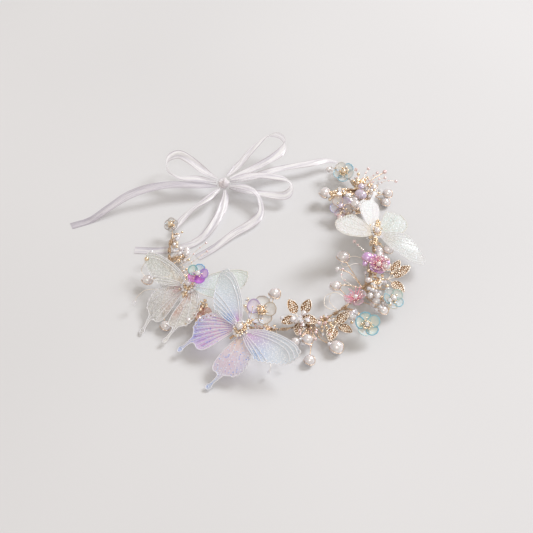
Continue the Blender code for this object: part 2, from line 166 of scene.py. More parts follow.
print("champagne gold in linear values:", [round(c, 3) for c in linear("#d9b48a")])

# %% [markdown]
# Every material below is made of the same few steps, and each step has its own short function: start an
# empty material, make a noise of a certain grain, pick a tone by that noise, dent the surface by it, mix
# two colours or two shaders, let light through, and finish. All of them use coordinates that are fixed to
# the piece.


# %% The steps of a material
def new_material(name, coordinates="Object"):
    """An empty node material and the coordinates that its patterns follow."""
    material = bpy.data.materials.new(name)
    material.use_nodes = True
    material.node_tree.nodes.clear()
    return material, add(material, "TexCoord").outputs[coordinates]


def noise(material, coords, grain_mm, **more):
    """A cloudy value from 0 to 1, in spots of about grain_mm."""
    return add(material, "TexNoise", {"Vector": coords, "Scale": 1 / (grain_mm * MM), **more}).outputs["Fac"]


def tone(material, value, *stops):
    """A colour picked by a value from a row of stops."""
    return add(material, "ValToRGB", {"Fac": value}, stops=stops).outputs["Color"]


def dented(material, height, strength, depth_mm, under=None, **settings):
    """A surface direction that follows a height, on top of another one where that is given."""
    sockets = {"Height": height, "Strength": strength, "Distance": depth_mm * MM}
    if under:
        sockets["Normal"] = under
    return add(material, "Bump", sockets, **settings).outputs["Normal"]


def blend(material, share, one, two, how="MIX"):
    """Two colours mixed, or multiplied, by a share."""
    node = add(material, "Mix", {"Factor": share, "A": one, "B": two}, data_type="RGBA", blend_type=how)
    return node.outputs["Result"]


def shader_mix(material, share, one, two):
    return add(material, "MixShader", {0: share, 1: one.outputs[0], 2: two.outputs[0]})


def lit_through(material, share, shader, colour):
    """A shader that lets a share of the light through, tinted by a colour."""
    return shader_mix(material, share, shader, add(material, "BsdfTranslucent", {"Color": colour}))


def sheer(material, share, shader):
    """A shader through which a share of what lies behind it is seen."""
    return shader_mix(material, share, shader, add(material, "BsdfTransparent"))


def finished(material, shader):
    add(material, "OutputMaterial", {"Surface": shader.outputs[0]})
    return material


# %% [markdown]
# ## Metals
# The wires and leaves are brass with a thin champagne-gold plating. Plating copies the surface beneath it:
# drawn wire is smooth along its length, and a stamped leaf is slightly pitted. A metal shows almost no
# colour of its own, only a tinted reflection, so the plating's colour is the base colour and the roughness
# says how sharp the reflection is. The leaf's plate is dark and rough as painted shade: it stands for the
# shadow in the holes of the leaf's open lace, so that the bright grains on it stand out.


# %% Metals
def plated_metal(name, bright, dull, roughness, grain_mm, dent):
    """Plated brass: two tones of plating that change over grain_mm, with fine dents of the given strength."""
    material, coords = new_material(name)
    grain = noise(material, coords, grain_mm, Detail=3.0)
    plating = {
        "Base Color": tone(material, grain, (0.35, dull), (0.62, bright)),
        "Metallic": 1.0,
        "Roughness": roughness,
        "Normal": dented(material, grain, dent, 0.2),
    }
    return finished(material, add(material, "BsdfPrincipled", plating))


wire_gold = plated_metal("champagne_plated_wire", "#f6e2ca", "#cfae8a", 0.3, 1.5, 0.15)
wire_silver = plated_metal("silver_plated_wire", "#d9d6d2", "#9b9591", 0.25, 1.5, 0.15)
leaf_gold = plated_metal("rose_gold_plated_leaf", "#fffaf2", "#f8e9d4", 0.38, 0.9, 0.2)
# painted shade: this dark metal is the leaf plate that stands for the shadow in the lace's holes
leaf_shade_plate = plated_metal("dark_plate_painted_hollow_shade", "#c49f7a", "#8f6a48", 0.6, 0.8, 0.5)
bead_gold = plated_metal("gold_plated_bead", "#fff1da", "#f0d4b0", 0.25, 2.0, 0.1)
print("metals:", wire_gold.name, leaf_gold.name)

# %% [markdown]
# ## Beads, pearls and crystal
# The pearls are moulded beads dipped in pearl lacquer. The lacquer holds thin flakes that reflect in
# layers, so the bead is creamy in the middle of its gloss with a faint pink and green bloom: a clear coat
# over a soft base, with a thin film of about 400 nanometres, gives that. The crystals are cut glass with a
# foil behind them, as cheap stones are, so they flash like a pale metal under a clear coat and don't need
# light to pass through them.


# %% Beads, pearls and crystal
def pearl_lacquer(name, body, shade):
    """Pearl lacquer over a moulded bead, with cloudy tones about 3 mm across."""
    material, coords = new_material(name)
    cloud = noise(material, coords, 3, Detail=1.0)
    lacquer = {
        "Base Color": tone(material, cloud, (0.3, shade), (0.7, body)),
        "Metallic": 0.4,
        "Roughness": 0.2,
        "Coat Weight": 1.0,
        "Coat Roughness": 0.05,
        "Thin Film Thickness": 420.0,
        "Thin Film IOR": 1.6,
        "Subsurface Weight": 0.15,
        "Subsurface Radius": (0.003, 0.002, 0.002),
    }
    return finished(material, add(material, "BsdfPrincipled", lacquer))


def cut_glass(name, colour):
    """Foil-backed cut glass, whose tone changes a little every 1.2 mm."""
    material, coords = new_material(name)
    glass = {
        "Base Color": tone(material, noise(material, coords, 1.2), (0.35, colour), (0.65, "#ffffff")),
        "Roughness": 0.08,
        "Metallic": 0.45,
        "Coat Weight": 1.0,
        "Coat Roughness": 0.02,
    }
    return finished(material, add(material, "BsdfPrincipled", glass))


pearl_cream = pearl_lacquer("pearl_lacquer_cream", "#f8f3f3", "#e6dfe0")
pearl_lilac = pearl_lacquer("pearl_lacquer_lilac", "#efd0f4", "#e2b2ee")
pearl_mauve = pearl_lacquer("pearl_lacquer_mauve", "#ece2f2", "#dccfe8")
pearl_pink = pearl_lacquer("pearl_lacquer_pink", "#fbe8e6", "#f4d4d4")
crystal = cut_glass("cut_crystal", "#eef0fa")
crystal_pink = cut_glass("cut_crystal_pink", "#f6bdb4")
# Each kind of small bead: its shape, its material and its slot.
KINDS = {
    "pearl": ("round", pearl_cream, "pearl"),
    "pink": ("seed", pearl_pink, "pearl"),
    "lilac": ("round", pearl_lilac, "pearl"),
    "mauve": ("round", pearl_mauve, "pearl"),
    "gold": ("seed", bead_gold, "gilt_wire"),
    "stone": ("cut", crystal, "crystal"),
    "coral": ("cut", crystal_pink, "crystal"),
}
print("kinds of bead:", ", ".join(KINDS))

# %% [markdown]
# ## Three ways to make a piece
# Nearly everything on the crown is one of three shapes. A wire is a curve with a round bevel. A bead is a
# small ball or cut stone that is repeated hundreds of times, so one template is copied into a single mesh.
# Anything else is a sheet or a shell, made from rows of points. Each function also puts the finished piece
# on its body.


# %% Wires, beads and meshes
def put(obj, material, body, replaces=()):
    """Finishes a piece: its material, the body that it moves with and the solids that it stands for."""
    bpy.context.scene.collection.objects.link(obj)
    obj.data.materials.append(material)
    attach(obj, body)
    if replaces:
        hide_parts(*replaces)
    return obj


def wires(name, routes, radius, material=wire_gold, body="crown", replaces=(), sides=2):
    """One piece of several round wires, each through its own list of points."""
    curve = bpy.data.curves.new(name, "CURVE")
    curve.dimensions = "3D"
    curve.bevel_depth = radius * MM
    curve.bevel_resolution = sides
    curve.use_fill_caps = True
    for route in routes:
        spline = curve.splines.new("POLY")
        spline.points.add(len(route) - 1)
        for point, place in zip(spline.points, route):
            point.co = (*place[:3], 1)
    return put(bpy.data.objects.new(name, curve), material, body, replaces)


def heading(route, k):
    """The way that a route runs at its point number k."""
    return route[min(k + 1, len(route) - 1)] - route[max(k - 1, 0)]


def twisted(route, strands, spread, turn_mm):
    """The routes of strands twisted round a route: spread from its middle, one turn in turn_mm."""
    made = [[] for _ in range(strands)]
    run = 0.0
    for k, place in enumerate(route):
        ahead = heading(route, k)
        steep = abs(ahead.normalized().z) > 0.9
        across = ahead.cross(Vector((1, 0, 0)) if steep else UP).normalized()
        over = across.cross(ahead).normalized()
        run += (place - route[k - 1]).length if k else 0.0
        for n, strand in enumerate(made):
            turn = math.tau * (run / (turn_mm * MM) + n / strands)
            strand.append(place + (across * math.cos(turn) + over * math.sin(turn)) * spread * MM)
    return made


def mesh_piece(
    name, verts, faces, material, body="crown", replaces=(), facets=False, tints=None
):
    """A piece from points and faces, which may carry a colour at each point."""
    mesh = bpy.data.meshes.new(name)
    mesh.from_pydata([tuple(v) for v in verts], [], faces)
    if tints is not None:
        layer = mesh.color_attributes.new("tint", "FLOAT_COLOR", "POINT")
        layer.data.foreach_set("color", np.asarray(tints, dtype=np.float32).ravel())
    if not facets:
        mesh.shade_smooth()
    return put(bpy.data.objects.new(name, mesh), material, body, replaces)


def cut_stone(bm):
    """Two blunt eight-sided cones, base to base, with the wall between them taken out."""
    bmesh.ops.create_cone(bm, cap_ends=True, segments=8, radius1=0.95, radius2=0.35, depth=0.8)
    for v in bm.verts:
        v.co.z += 0.4
    other = bmesh.ops.duplicate(bm, geom=bm.verts[:] + bm.edges[:] + bm.faces[:])["geom"]
    for v in [g for g in other if isinstance(g, bmesh.types.BMVert)]:
        v.co.z *= -1
    bmesh.ops.reverse_faces(bm, faces=[g for g in other if isinstance(g, bmesh.types.BMFace)])
    wall = [f for f in bm.faces if abs(f.calc_center_median().z) < 0.01]
    bmesh.ops.delete(bm, geom=wall, context="FACES_ONLY")
    bmesh.ops.remove_doubles(bm, verts=bm.verts, dist=0.001)


def template(kind):
    """A bead one unit in radius: round and drilled at its ends, a small seed, a grain, or a cut stone."""
    bm = bmesh.new()
    if kind == "round":
        bmesh.ops.create_uvsphere(bm, u_segments=24, v_segments=16, radius=1)
        for v in bm.verts:
            if abs(v.co.z) > 0.99:
                v.co.z *= DRILLED
    elif kind == "seed":
        bmesh.ops.create_uvsphere(bm, u_segments=10, v_segments=7, radius=1)
    elif kind == "grain":
        bmesh.ops.create_icosphere(bm, subdivisions=1, radius=1)
    else:
        cut_stone(bm)
    verts = np.array([v.co[:] for v in bm.verts])
    faces = [[v.index for v in f.verts] for f in bm.faces]
    bm.free()
    return verts, faces


DRILLED = 0.8  # how far out the dimple at a bead's hole lies, in radii
STRUNG_ALONG = Vector((1.0, 0.5, -0.2))
TEMPLATES = {kind: template(kind) for kind in ("round", "seed", "grain", "cut")}


def beads(name, kind, spots, material, body="crown", replaces=()):
    """One piece of many beads. A spot is a centre, a radius in millimetres and, if it matters, an axis."""
    shape, shape_faces = TEMPLATES[kind]
    verts, faces = [], []
    for centre, radius, *axis in spots:
        turn = np.array((axis[0] if axis else STRUNG_ALONG).to_track_quat("Z", "Y").to_matrix())
        faces += [[len(verts) + i for i in face] for face in shape_faces]
        verts += list((shape * (radius * MM)) @ turn.T + np.array(centre))
    return mesh_piece(name, verts, faces, material, body, replaces, facets=kind == "cut")


def radius_of(node):
    """The radius of a bead's solid in millimetres."""
    low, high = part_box(node)
    return (high[2] - low[2]) / 2 / MM


print("a cut stone has", len(TEMPLATES["cut"][1]), "facets")

# %% [markdown]
# ## Ribbon
# The ties are 7 mm satin ribbon, with a weave so fine that light comes through it. Satin floats its threads
# over the surface, so it shines across the threads and turns lilac-grey where it bends away: that shine is
# painted into its colour as bright streaks along the ribbon, a painted highlight, and the grey as painted
# shade at its edges. The weave here runs every 0.5 mm, coarser than real satin, so that it shows. The cloth
# is a strip of mesh that follows its route, narrows and pleats where it enters the knot, and is cupped a
# little across its width, which a flat strip would miss.


# %% Satin
THREADS_ACROSS = 7.0  # one thread every 0.5 mm or so: the strip's UV runs 1 for each 7 mm


def satin(name, edge_shade_stops, openness):
    """Satin with painted highlight streaks along its length and painted shade across it from the given edge tones,
    which light comes through by the given openness.
    """
    material, coords = new_material(name, "UV")
    weft = add(material, "TexWave", {"Vector": coords, "Scale": THREADS_ACROSS}, bands_direction="Y")
    drawn = add(material, "Mapping", {"Vector": coords, "Scale": (1.5, 0.13, 1.0)}).outputs[0]
    streaks = {"Vector": drawn, "Scale": 2.0, "Detail": 2.0, "Distortion": 0.4}
    streak = add(material, "TexNoise", streaks).outputs["Fac"]
    # painted highlight: the streak tones, lilac-grey to white, are the satin's sheen painted along the ribbon
    thread = tone(material, streak, (0.33, "#e2dfe8"), (0.46, "#faf8fc"), (0.58, "#ffffff"))
    across = add(material, "SeparateXYZ", {"Vector": coords}).outputs["X"]
    # painted shade: the edge tones darken the colour along the ribbon's edges
    sheen_and_edge_shade = blend(material, 0.9, thread, tone(material, across, *edge_shade_stops), "MULTIPLY")
    weave = dented(material, weft.outputs["Fac"], 0.1, 0.1)
    cloth = {
        "Base Color": sheen_and_edge_shade,
        "Roughness": 0.26,
        "Coat Weight": 0.6,
        "Coat Roughness": 0.15,
        "Sheen Weight": 0.3,
        "Normal": dented(material, streak, 0.5, 1.5, weave),
    }
    lit = lit_through(material, 0.35, add(material, "BsdfPrincipled", cloth), sheen_and_edge_shade)
    gaps = add(material, "MapRange", {"Value": streak, 1: 0.35, 2: 0.6, 3: openness, 4: openness / 3})
    return finished(material, sheer(material, gaps.outputs[0], lit))


# painted shade: the ribbon darkens towards each edge, where it bends away from the light
EDGE_SHADE = [(0.0, "#b5abac"), (0.05, "#d9d4d8"), (0.13, "#ffffff")]
EDGES = EDGE_SHADE + [(0.87, "#ffffff"), (0.95, "#d9d4d8"), (1.0, "#b5abac")]
# painted shade: the long tail is painted lilac-grey across its width, darkest at its edges, where it turns from
# the light
GREY_TAIL_SHADE = [(0.0, "#a19aa6"), (0.06, "#cdc8d0"), (0.3, "#eeebf0"), (1.0, "#c3bec8")]
white_satin = satin("sheer_white_satin", EDGES, 0.24)
shaded_tail_satin = satin("sheer_satin_painted_grey_shade", GREY_TAIL_SHADE, 0.34)
knot_satin = satin("gathered_white_satin", [(0.0, "#fbf6ee"), (0.5, "#ffffff")], 0.0)
print("cloth:", white_satin.name)

# %% Ribbon routes, in millimetres and degrees of lean: 0 lies flat and 90 stands on its edge
RIBBON_WIDTH = 7.0
RIBBON_GATHER = 0.34
RIBBON_GATHER_LENGTH = 16.0
RIBBONS = {
    "tie_ribbon_left": [
        (-77, 21, 7, 0), (-71, 32, 8, 10), (-62, 43, 10, 25), (-51, 53, 11, 10), (-42, 64, 11, 0),
    ],
    "tie_ribbon_right": [
        (56, 99, 7, 0), (46, 99.5, 9, 0), (32, 94, 11, 0), (7, 87, 11, 0), (-16, 77, 11, 0),
        (-33.5, 71, 11, 0),
    ],
    "bow_loop_left": [
        (-44, 72, 14, 0), (-54, 77.5, 16, 0), (-67, 90, 18, 20), (-77, 96, 19, 60), (-85.5, 90, 19, 90),
        (-85, 80, 17, 80), (-76, 73, 15, 30), (-62, 72, 14, 0), (-45, 70, 12.5, 0),
    ],
    "bow_loop_upper": [
        (-36, 74, 15, 0), (-26, 86, 17, 10), (-15, 103, 20, 20), (-4, 115, 22, 50), (6, 116.5, 22, 80),
        (11.5, 109, 21, 90), (8, 99, 19, 40), (-8, 86.5, 16.5, 0), (-34, 72.5, 13.6, 0),
    ],
    "bow_loop_lower": [
        (-33, 69.5, 15.5, 0), (-14, 73, 17, 0), (4, 71, 17, 0), (14.5, 67, 16, 40), (16.5, 60, 14, 70),
        (10, 55.5, 11, 30), (-7, 60, 8.5, 0), (-34, 67, 8.5, 0),
    ],
    "ribbon_tail_long": [
        (-44.5, 67, 10.6, 0), (-60, 67, 12, 0), (-80, 65, 14.5, 10), (-99, 60, 15, 20),
        (-115, 54.5, 12.5, 20), (-130, 46.5, 7.5, 10), (-142, 40, 2.4, 0), (-149, 36.5, 0.25, 0),
        (-155, 34, 0.25, 0), (-161, 31.5, 0.25, 0),
    ],
    "ribbon_tail_front": [
        (-38, 63.8, 9.5, 0), (-37.5, 56, 9, 10), (-40, 44, 6.5, 20), (-48, 27, 3.5, 10), (-57, 15, 1.6, 0),
        (-70, 8, 0.8, 0), (-88, 4.5, 0.4, 0), (-108, 5, 0.4, 0),
    ],
    "ribbon_tail_curl": [
        (-34, 66, 12, 0), (-23, 63.5, 13.5, 0), (-14, 59, 13, 20), (-8.5, 50, 9.5, 50), (-9, 39, 6, 50),
        (-17, 30, 4, 20), (-30, 20.5, 2.6, 0), (-45, 7, 1.2, 0), (-58, -3, 0.5, 0),
    ],
}

# %% [markdown]
# Each ribbon goes from the knot, where it is gathered, along its route. Those that end on the table are
# open at their far end, and those that close a loop or reach the hoop are gathered at both ends.


# %% Ribbons
ON_TABLE = 1.2  # below this height a ribbon lies flat on the table
ACROSS_STEPS = 12
RIBBON_STEP = 1.6
PLEAT, CUP, RIPPLE = 0.55, 0.8, 0.25  # how high the folds across a ribbon are


def grid_faces(rows, columns, start=0):
    """Four-sided faces between rows of points, numbered from start."""
    wide = columns + 1
    corners = [start + k * wide + j for k in range(rows) for j in range(columns)]
    return [(c, c + 1, c + wide + 1, c + wide) for c in corners]


def run_lengths(path):
    """How far along a path each of its points lies."""
    runs = [0.0]
    for here, ahead in zip(path, path[1:]):
        runs.append(runs[-1] + (ahead - here).length)
    return runs


def ribbon(name, points, open_end):
    """A strip along its route, pleated near its gathered ends. Returns the piece, its path and its length."""
    route = smooth_route([(*at(x, y, z), math.radians(lean)) for x, y, z, lean in points], RIBBON_STEP * MM)
    path = [row.to_3d() for row in route]
    runs = run_lengths(path)
    length = runs[-1]
    verts, uvs = [], []
    for k, place in enumerate(path):
        ahead = heading(path, k).normalized()
        side = ahead.cross(UP).normalized()
        over = side.cross(ahead)
        lean = route[k][3]
        leaning, upright = math.sin(lean), math.cos(lean)
        side, over = side * upright + over * leaning, over * upright - side * leaning
        from_end = 1.0 if open_end else (length - runs[k]) / (RIBBON_GATHER_LENGTH * MM)
        spread = min(runs[k] / (RIBBON_GATHER_LENGTH * MM), from_end, 1.0)
        gathered = 1 - math.sin(spread * math.pi / 2)
        half = RIBBON_WIDTH / 2 * (1 - (1 - RIBBON_GATHER) * gathered)
        for j in range(ACROSS_STEPS + 1):
            u = 2 * j / ACROSS_STEPS - 1
            pleat = PLEAT * gathered * math.cos(2.5 * math.pi * u) * min(1.0, runs[k] / (3 * MM))
            cup = CUP * (1 - gathered) * (u * u - 0.4) * math.sin(runs[k] / (15 * MM) + len(name))
            cup += RIPPLE * (1 - gathered) * math.sin(5 * u + runs[k] / (7 * MM))
            lift = 0.0 if place.z < ON_TABLE * MM else pleat + cup
            verts.append(place + side * half * u * MM + over * lift * MM)
            uvs.append((j / ACROSS_STEPS, runs[k] / (RIBBON_WIDTH * MM)))
    faces = grid_faces(len(path) - 1, ACROSS_STEPS)
    # painted shade: the long tail gets the satin painted lilac-grey
    cloth = shaded_tail_satin if name == "ribbon_tail_long" else white_satin
    piece = mesh_piece(name + "_satin", verts, faces, cloth, replaces=[name])
    layer = piece.data.uv_layers.new(name="weave")
    for loop in piece.data.loops:
        layer.data[loop.index].uv = uvs[loop.vertex_index]
    return piece, path, length


for name, points in RIBBONS.items():
    tail = name.startswith("ribbon_tail")
    piece, path, length = ribbon(name, points, tail)
    ends = "bare" if tail else "knot"
    print(f"{name}: {length * 1000:.0f} mm")

# %% [markdown]
# The knot is the ribbon wrapped round itself. A ball, pulled in at its waist and folded by two waves that
# run round it, reads as that. It keeps the UV of a ball, which the weave of the satin needs.

# %% The knot
KNOT_SIZE = Vector((5.8, 4.6, 4.6))
KNOT_TURN = math.radians(25)

knot_middle = middle_of("bow_knot")
bm = bmesh.new()
bm.loops.layers.uv.new("weave")
bmesh.ops.create_uvsphere(bm, u_segments=48, v_segments=32, radius=1, calc_uvs=True)
for vert in bm.verts:
    around = math.atan2(vert.co.z, vert.co.x)
    fold = 0.9 + 0.1 * math.cos(5 * around + 4 * vert.co.y) + 0.05 * math.sin(11 * around - 5 * vert.co.y)
    tied = fold * (0.82 + 0.18 * abs(vert.co.y))
    vert.co = vert.co * KNOT_SIZE * Vector((tied, 1, tied)) * MM
    vert.co = Matrix.Rotation(KNOT_TURN, 3, "Z") @ vert.co + knot_middle
knot_mesh = bpy.data.meshes.new("bow_knot_folds")
bm.to_mesh(knot_mesh)
bm.free()
knot_mesh.shade_smooth()
put(bpy.data.objects.new("bow_knot_folds", knot_mesh), knot_satin, "crown", ["bow_knot"])
print("knot at", [round(c, 4) for c in knot_middle])

# %% [markdown]
# ## The hoop
# The real ring is three thin wires twisted together, which makes it stiff and gives the stems something to
# grip. A twist is a helix round the ring's own line: it could be a modifier, but three curves worked out
# from one route stay simple. At each end the wires are bent into a small open eyelet for the ribbon.

# %% The hoop
EYELET_RADIUS = 2.7
EYELET_TURN = 250
HOOP_TWIST = (3, 0.5, 5.5)  # strands, their distance from the middle and the length of one turn
HOOP_WIRE = 0.42
SILVER_WIRE = 0.4


def eyelet(end, before, side):
    """The points of the small open hook that the wire's end is bent into."""
    along = (end - before).normalized()
    across = along.cross(UP) * side
    middle = end + across * EYELET_RADIUS * MM
    turns = [math.radians(t) for t in range(15, EYELET_TURN + 1, 15)]
    return [middle + EYELET_RADIUS * MM * (along * math.sin(t) - across * math.cos(t)) for t in turns]


arc = [on_hoop(angle / 2) for angle in range(HOOP_LEFT_END * 2, HOOP_RIGHT_END * 2 + 1)]
hoop_route = eyelet(arc[0], arc[1], 1)[::-1] + arc + eyelet(arc[-1], arc[-2], -1)
hoop_strands = twisted(hoop_route, *HOOP_TWIST)
wires("hoop_gold_strands", hoop_strands[:2], HOOP_WIRE, replaces=["base_wire"])
wires("hoop_silver_strand", hoop_strands[2:], SILVER_WIRE, wire_silver)
print("hoop wire points:", len(hoop_route))

# %% [markdown]
# ## Butterfly wings
# A wing is a sheet of clear film, cut to a lacy outline, with veins and a rim drawn on it in thick white
# paint that stands up from the film. So it is made the same way here: the film is a flat outline filled
# with a net of triangles, pierced near its scalloped margin, and the veins and the rim are thin raised
# lines laid over it. A wing could also be one mesh with its veins pushed up, but separate lines stay crisp
# however far they are.

# %% Wing outlines, right-hand side, in millimetres from the middle of the body, which lies along Y
FOREWING_EDGE = [
    (2.6, 1), (8, 8.6), (18, 16.6), (30, 22.4), (39, 24.8), (44.6, 23.6), (46.6, 19), (44.8, 12.5), (40, 6),
    (34, 0), (28, -4.6), (20, -5.5), (11, -4), (2.6, -1),
]
FOREWING_LINES = [
    [(3.4, 1.8), (9, 8), (19, 15.6), (31, 21.3), (40, 23), (45.5, 21.5)],
    [(3.4, 1.5), (10, 7), (20, 13.8), (32, 18.8), (40.5, 19.8), (46.3, 17.5)],
    [(3.4, 1.2), (10.5, 5.8), (21, 11.7), (32, 15.9), (39.5, 16.4), (44.6, 13.4)],
    [(3.4, 1.0), (11, 4.6), (21.5, 9.2), (32, 12.4), (38, 12.2), (42, 9.6)],
    [(3.4, 0.6), (12, 2.6), (22, 3.8), (30, 4), (37.2, 3.6)],
    [(3.4, 0.3), (12, 1.0), (21, 1.2), (29, 0.6), (34, 0.0)],
    [(3.4, 0.0), (11, -0.6), (19, -1.4), (25, -2.2), (30.5, -3)],
    [(3.4, -0.4), (10, -2.0), (17, -3.4), (24, -4.6)],
]
HINDWING_EDGE = [
    (2.6, -0.6), (9, -0.6), (16, -3), (23, -7.5), (27.6, -14), (28.6, -21), (26, -27), (22, -31),
    (21, -33.4), (20.6, -41.5), (21.8, -44.4), (20.9, -47.2), (18.8, -47.6), (17.4, -45.6), (18.4, -42),
    (17.6, -35.6), (15, -34.2), (11, -34.8), (7.4, -32.2), (4.8, -25), (3.4, -14), (2.6, -4),
]
HINDWING_LINES = [
    [(3.4, -1.2), (10, -2.2), (17, -5.2), (24, -10)],
    [(3.4, -1.5), (10, -3.4), (18, -8), (26.6, -15)],
    [(3.4, -1.8), (9.5, -4.6), (18, -11), (27, -20)],
    [(3.4, -2.1), (9, -6), (17, -14.5), (25.8, -25)],
    [(3.4, -2.5), (8, -7.5), (15, -17.5), (21.8, -29.5)],
    [(3.4, -2.9), (7, -9), (12.5, -19.5), (17.5, -31), (19.5, -36), (19.8, -44)],
    [(3.4, -3.4), (6, -10), (9.5, -20), (13, -33)],
    [(3.2, -4.0), (4.6, -11), (6.4, -20), (8.6, -32)],
]
WINGS = {
    "forewing": (FOREWING_EDGE, FOREWING_LINES, (0.44, 0.8)),
    "hindwing": (HINDWING_EDGE, HINDWING_LINES, (0.17, 0.365)),
}
SCALLOP_PITCH = 3.4
SCALLOP_DEPTH = 1.35
HOLE_INSET = 0.75
HOLE_RADIUS = 0.62
NET_PITCH = 1.25


def flat_route(points, step=0.5):
    return [Vector((spot.x, spot.y)) for spot in smooth_route([(x, y, 0) for x, y in points], step)]


def scalloped(edge, window):
    """The fine outline with rounded scallops between two shares of its length, and a hole in each scallop."""
    fine = flat_route(edge)
    runs = run_lengths(fine)
    start, end = (share * runs[-1] for share in window)
    outline, holes = [], []
    hole_due = start + SCALLOP_PITCH / 2
    for k, spot in enumerate(fine):
        ahead = heading(fine, k)
        out = Vector((-ahead.y, ahead.x)).normalized()
        bump = 0.0
        if start < runs[k] < end:
            bump = SCALLOP_DEPTH * abs(math.sin(math.pi * (runs[k] - start) / SCALLOP_PITCH)) ** 0.6
        outline.append(spot + out * bump)
        if start < hole_due < end and runs[k] >= hole_due:
            holes.append(spot - out * HOLE_INSET)
            hole_due += SCALLOP_PITCH
    return outline, holes


def pierced_net(outline, holes, radius, pitch):
    """Triangles that fill an outline except for the round holes, from a net of points one pitch apart."""
    points = list(outline)
    edges = [(k, (k + 1) % len(outline)) for k in range(len(outline))]
    turns = [math.tau * k / 8 for k in range(8)]
    for hole in holes:
        first = len(points)
        points += [hole + radius * Vector((math.cos(a), math.sin(a))) for a in turns]
        edges += [(first + k, first + (k + 1) % 8) for k in range(8)]
    xs = [p.x for p in outline]
    ys = [p.y for p in outline]
    for i in range(int((max(xs) - min(xs)) / pitch)):
        for j in range(int((max(ys) - min(ys)) / pitch)):
            spot = Vector((min(xs) + (i + 0.5 + j % 2 / 2) * pitch, min(ys) + (j + 0.5) * pitch))
            clear = min((spot - p).length for p in outline) > pitch / 3
            if clear and all((spot - hole).length > radius + 0.2 for hole in holes):
                points.append(spot)
    net = delaunay_2d_cdt(points, edges, [], 1, 0.0001)
    faces = []
    for face in net[2]:
        middle = sum((net[0][i] for i in face), Vector((0, 0))) / len(face)
        if all((middle - hole).length > radius * 0.9 for hole in holes):
            faces.append(list(face))
    return net[0], faces


SHAPES = {}
for kind, (edge, lines, window) in WINGS.items():
    outline, holes = scalloped(edge, window)
    net, faces = pierced_net(outline, holes, HOLE_RADIUS, NET_PITCH)
    SHAPES[kind] = (outline, net, faces, [flat_route(line, 1.2) for line in lines])
    print(kind, "has", len(faces), "triangles and", len(holes), "piercings")

# %% [markdown]
# Each wing is washed with colour like a water-colour: a ground colour, then soft round washes of other
# colours. A wash is given by its place on the wing, its size and its strength, all in the wing's own
# millimetres. The wing is slightly bowed from root to tip and ruffled towards its margin, because film
# never lies quite flat.


# %% Washes of colour
WING_REACH = 46
BOW = 1.3


def mixed(a, b, share):
    return tuple(p + (q - p) * share for p, q in zip(a, b))


def wash_colour(ground, washes, x, y):
    colour = linear(ground)
    for wx, wy, size, strength, code in washes:
        share = strength * math.exp(-((x - wx) ** 2 + (y - wy) ** 2) / size**2)
        colour = mixed(colour, linear(code), share)
    return colour


def rise(x, y, ruffle):
    """The height of the bowed and ruffled film above the wing's own plane."""
    reach = math.hypot(x, y) / WING_REACH
    turn = math.atan2(y, x)
    return BOW * math.sin(math.pi * min(1.0, reach)) + ruffle * reach**3 * math.sin(turn * 7 + reach * 4)


# %% [markdown]
# The film is dusted with glitter: flakes about 1.1 mm apart, most of them white and some coloured, lie on
# the tint and stand a little proud of it. Between the flakes the film lets more of what is behind it show
# through. Fine creases run over it, and on the older-looking wings a pattern of cracks darkens it.


# %% Film
def wing_film(name, flake_colours, flakes_share, clear, crackle=0.0, flake_mm=1.1, crumple=0.2):
    """Tinted film with glitter. Clear says how much shows through where there is no flake."""
    material, coords = new_material(name)
    tint = add(material, "Attribute", attribute_name="tint").outputs["Color"]
    flakes = add(material, "TexVoronoi", {"Vector": coords, "Scale": 1 / (flake_mm * MM)})
    from_middle = flakes.outputs["Distance"]
    draw = add(material, "SeparateColor", {"Color": flakes.outputs["Color"]}).outputs["Green"]
    chosen = add(material, "Math", {0: draw, 1: flakes_share}, operation="LESS_THAN").outputs[0]
    near = add(material, "MapRange", {"Value": from_middle, 1: 0.25, 2: 0.5, 3: 1.0, 4: 0.0}).outputs[0]
    mask = add(material, "Math", {0: chosen, 1: near}, operation="MULTIPLY").outputs[0]
    dusted = blend(material, mask, tint, tone(material, flakes.outputs["Color"], *flake_colours))
    cell_size = {"Vector": coords, "Scale": 1 / (2.4 * MM)}
    cells = add(material, "TexVoronoi", cell_size, feature="DISTANCE_TO_EDGE")
    cracks = tone(material, cells.outputs["Distance"], (0.02, "#b3aca2"), (0.1, "#ffffff"))
    aged = blend(material, crackle, dusted, cracks, "MULTIPLY")
    proud = dented(material, from_middle, 0.9, 0.3, invert=True)
    film = {
        "Base Color": aged,
        "Roughness": 0.3,
        "Coat Weight": 0.5,
        "Coat Roughness": 0.12,
        "Thin Film Thickness": 420.0,
        "Normal": dented(material, noise(material, coords, 2.2, Detail=3.0), crumple, 1.5, proud),
    }
    lit = lit_through(material, 0.2, add(material, "BsdfPrincipled", film), aged)
    gap = add(material, "MapRange", {"Value": mask, 1: 0.0, 2: 1.0, 3: clear, 4: clear * 0.2}).outputs[0]
    return finished(material, sheer(material, gap, lit))


def vein_paint(name, colour, shade):
    """Thick glossy paint, a little uneven in tone every 4 mm."""
    material, coords = new_material(name)
    uneven = tone(material, noise(material, coords, 4), (0.35, shade), (0.6, colour))
    gloss = {"Base Color": uneven, "Roughness": 0.25, "Coat Weight": 0.6}
    return finished(material, lit_through(material, 0.4, add(material, "BsdfPrincipled", gloss), uneven))


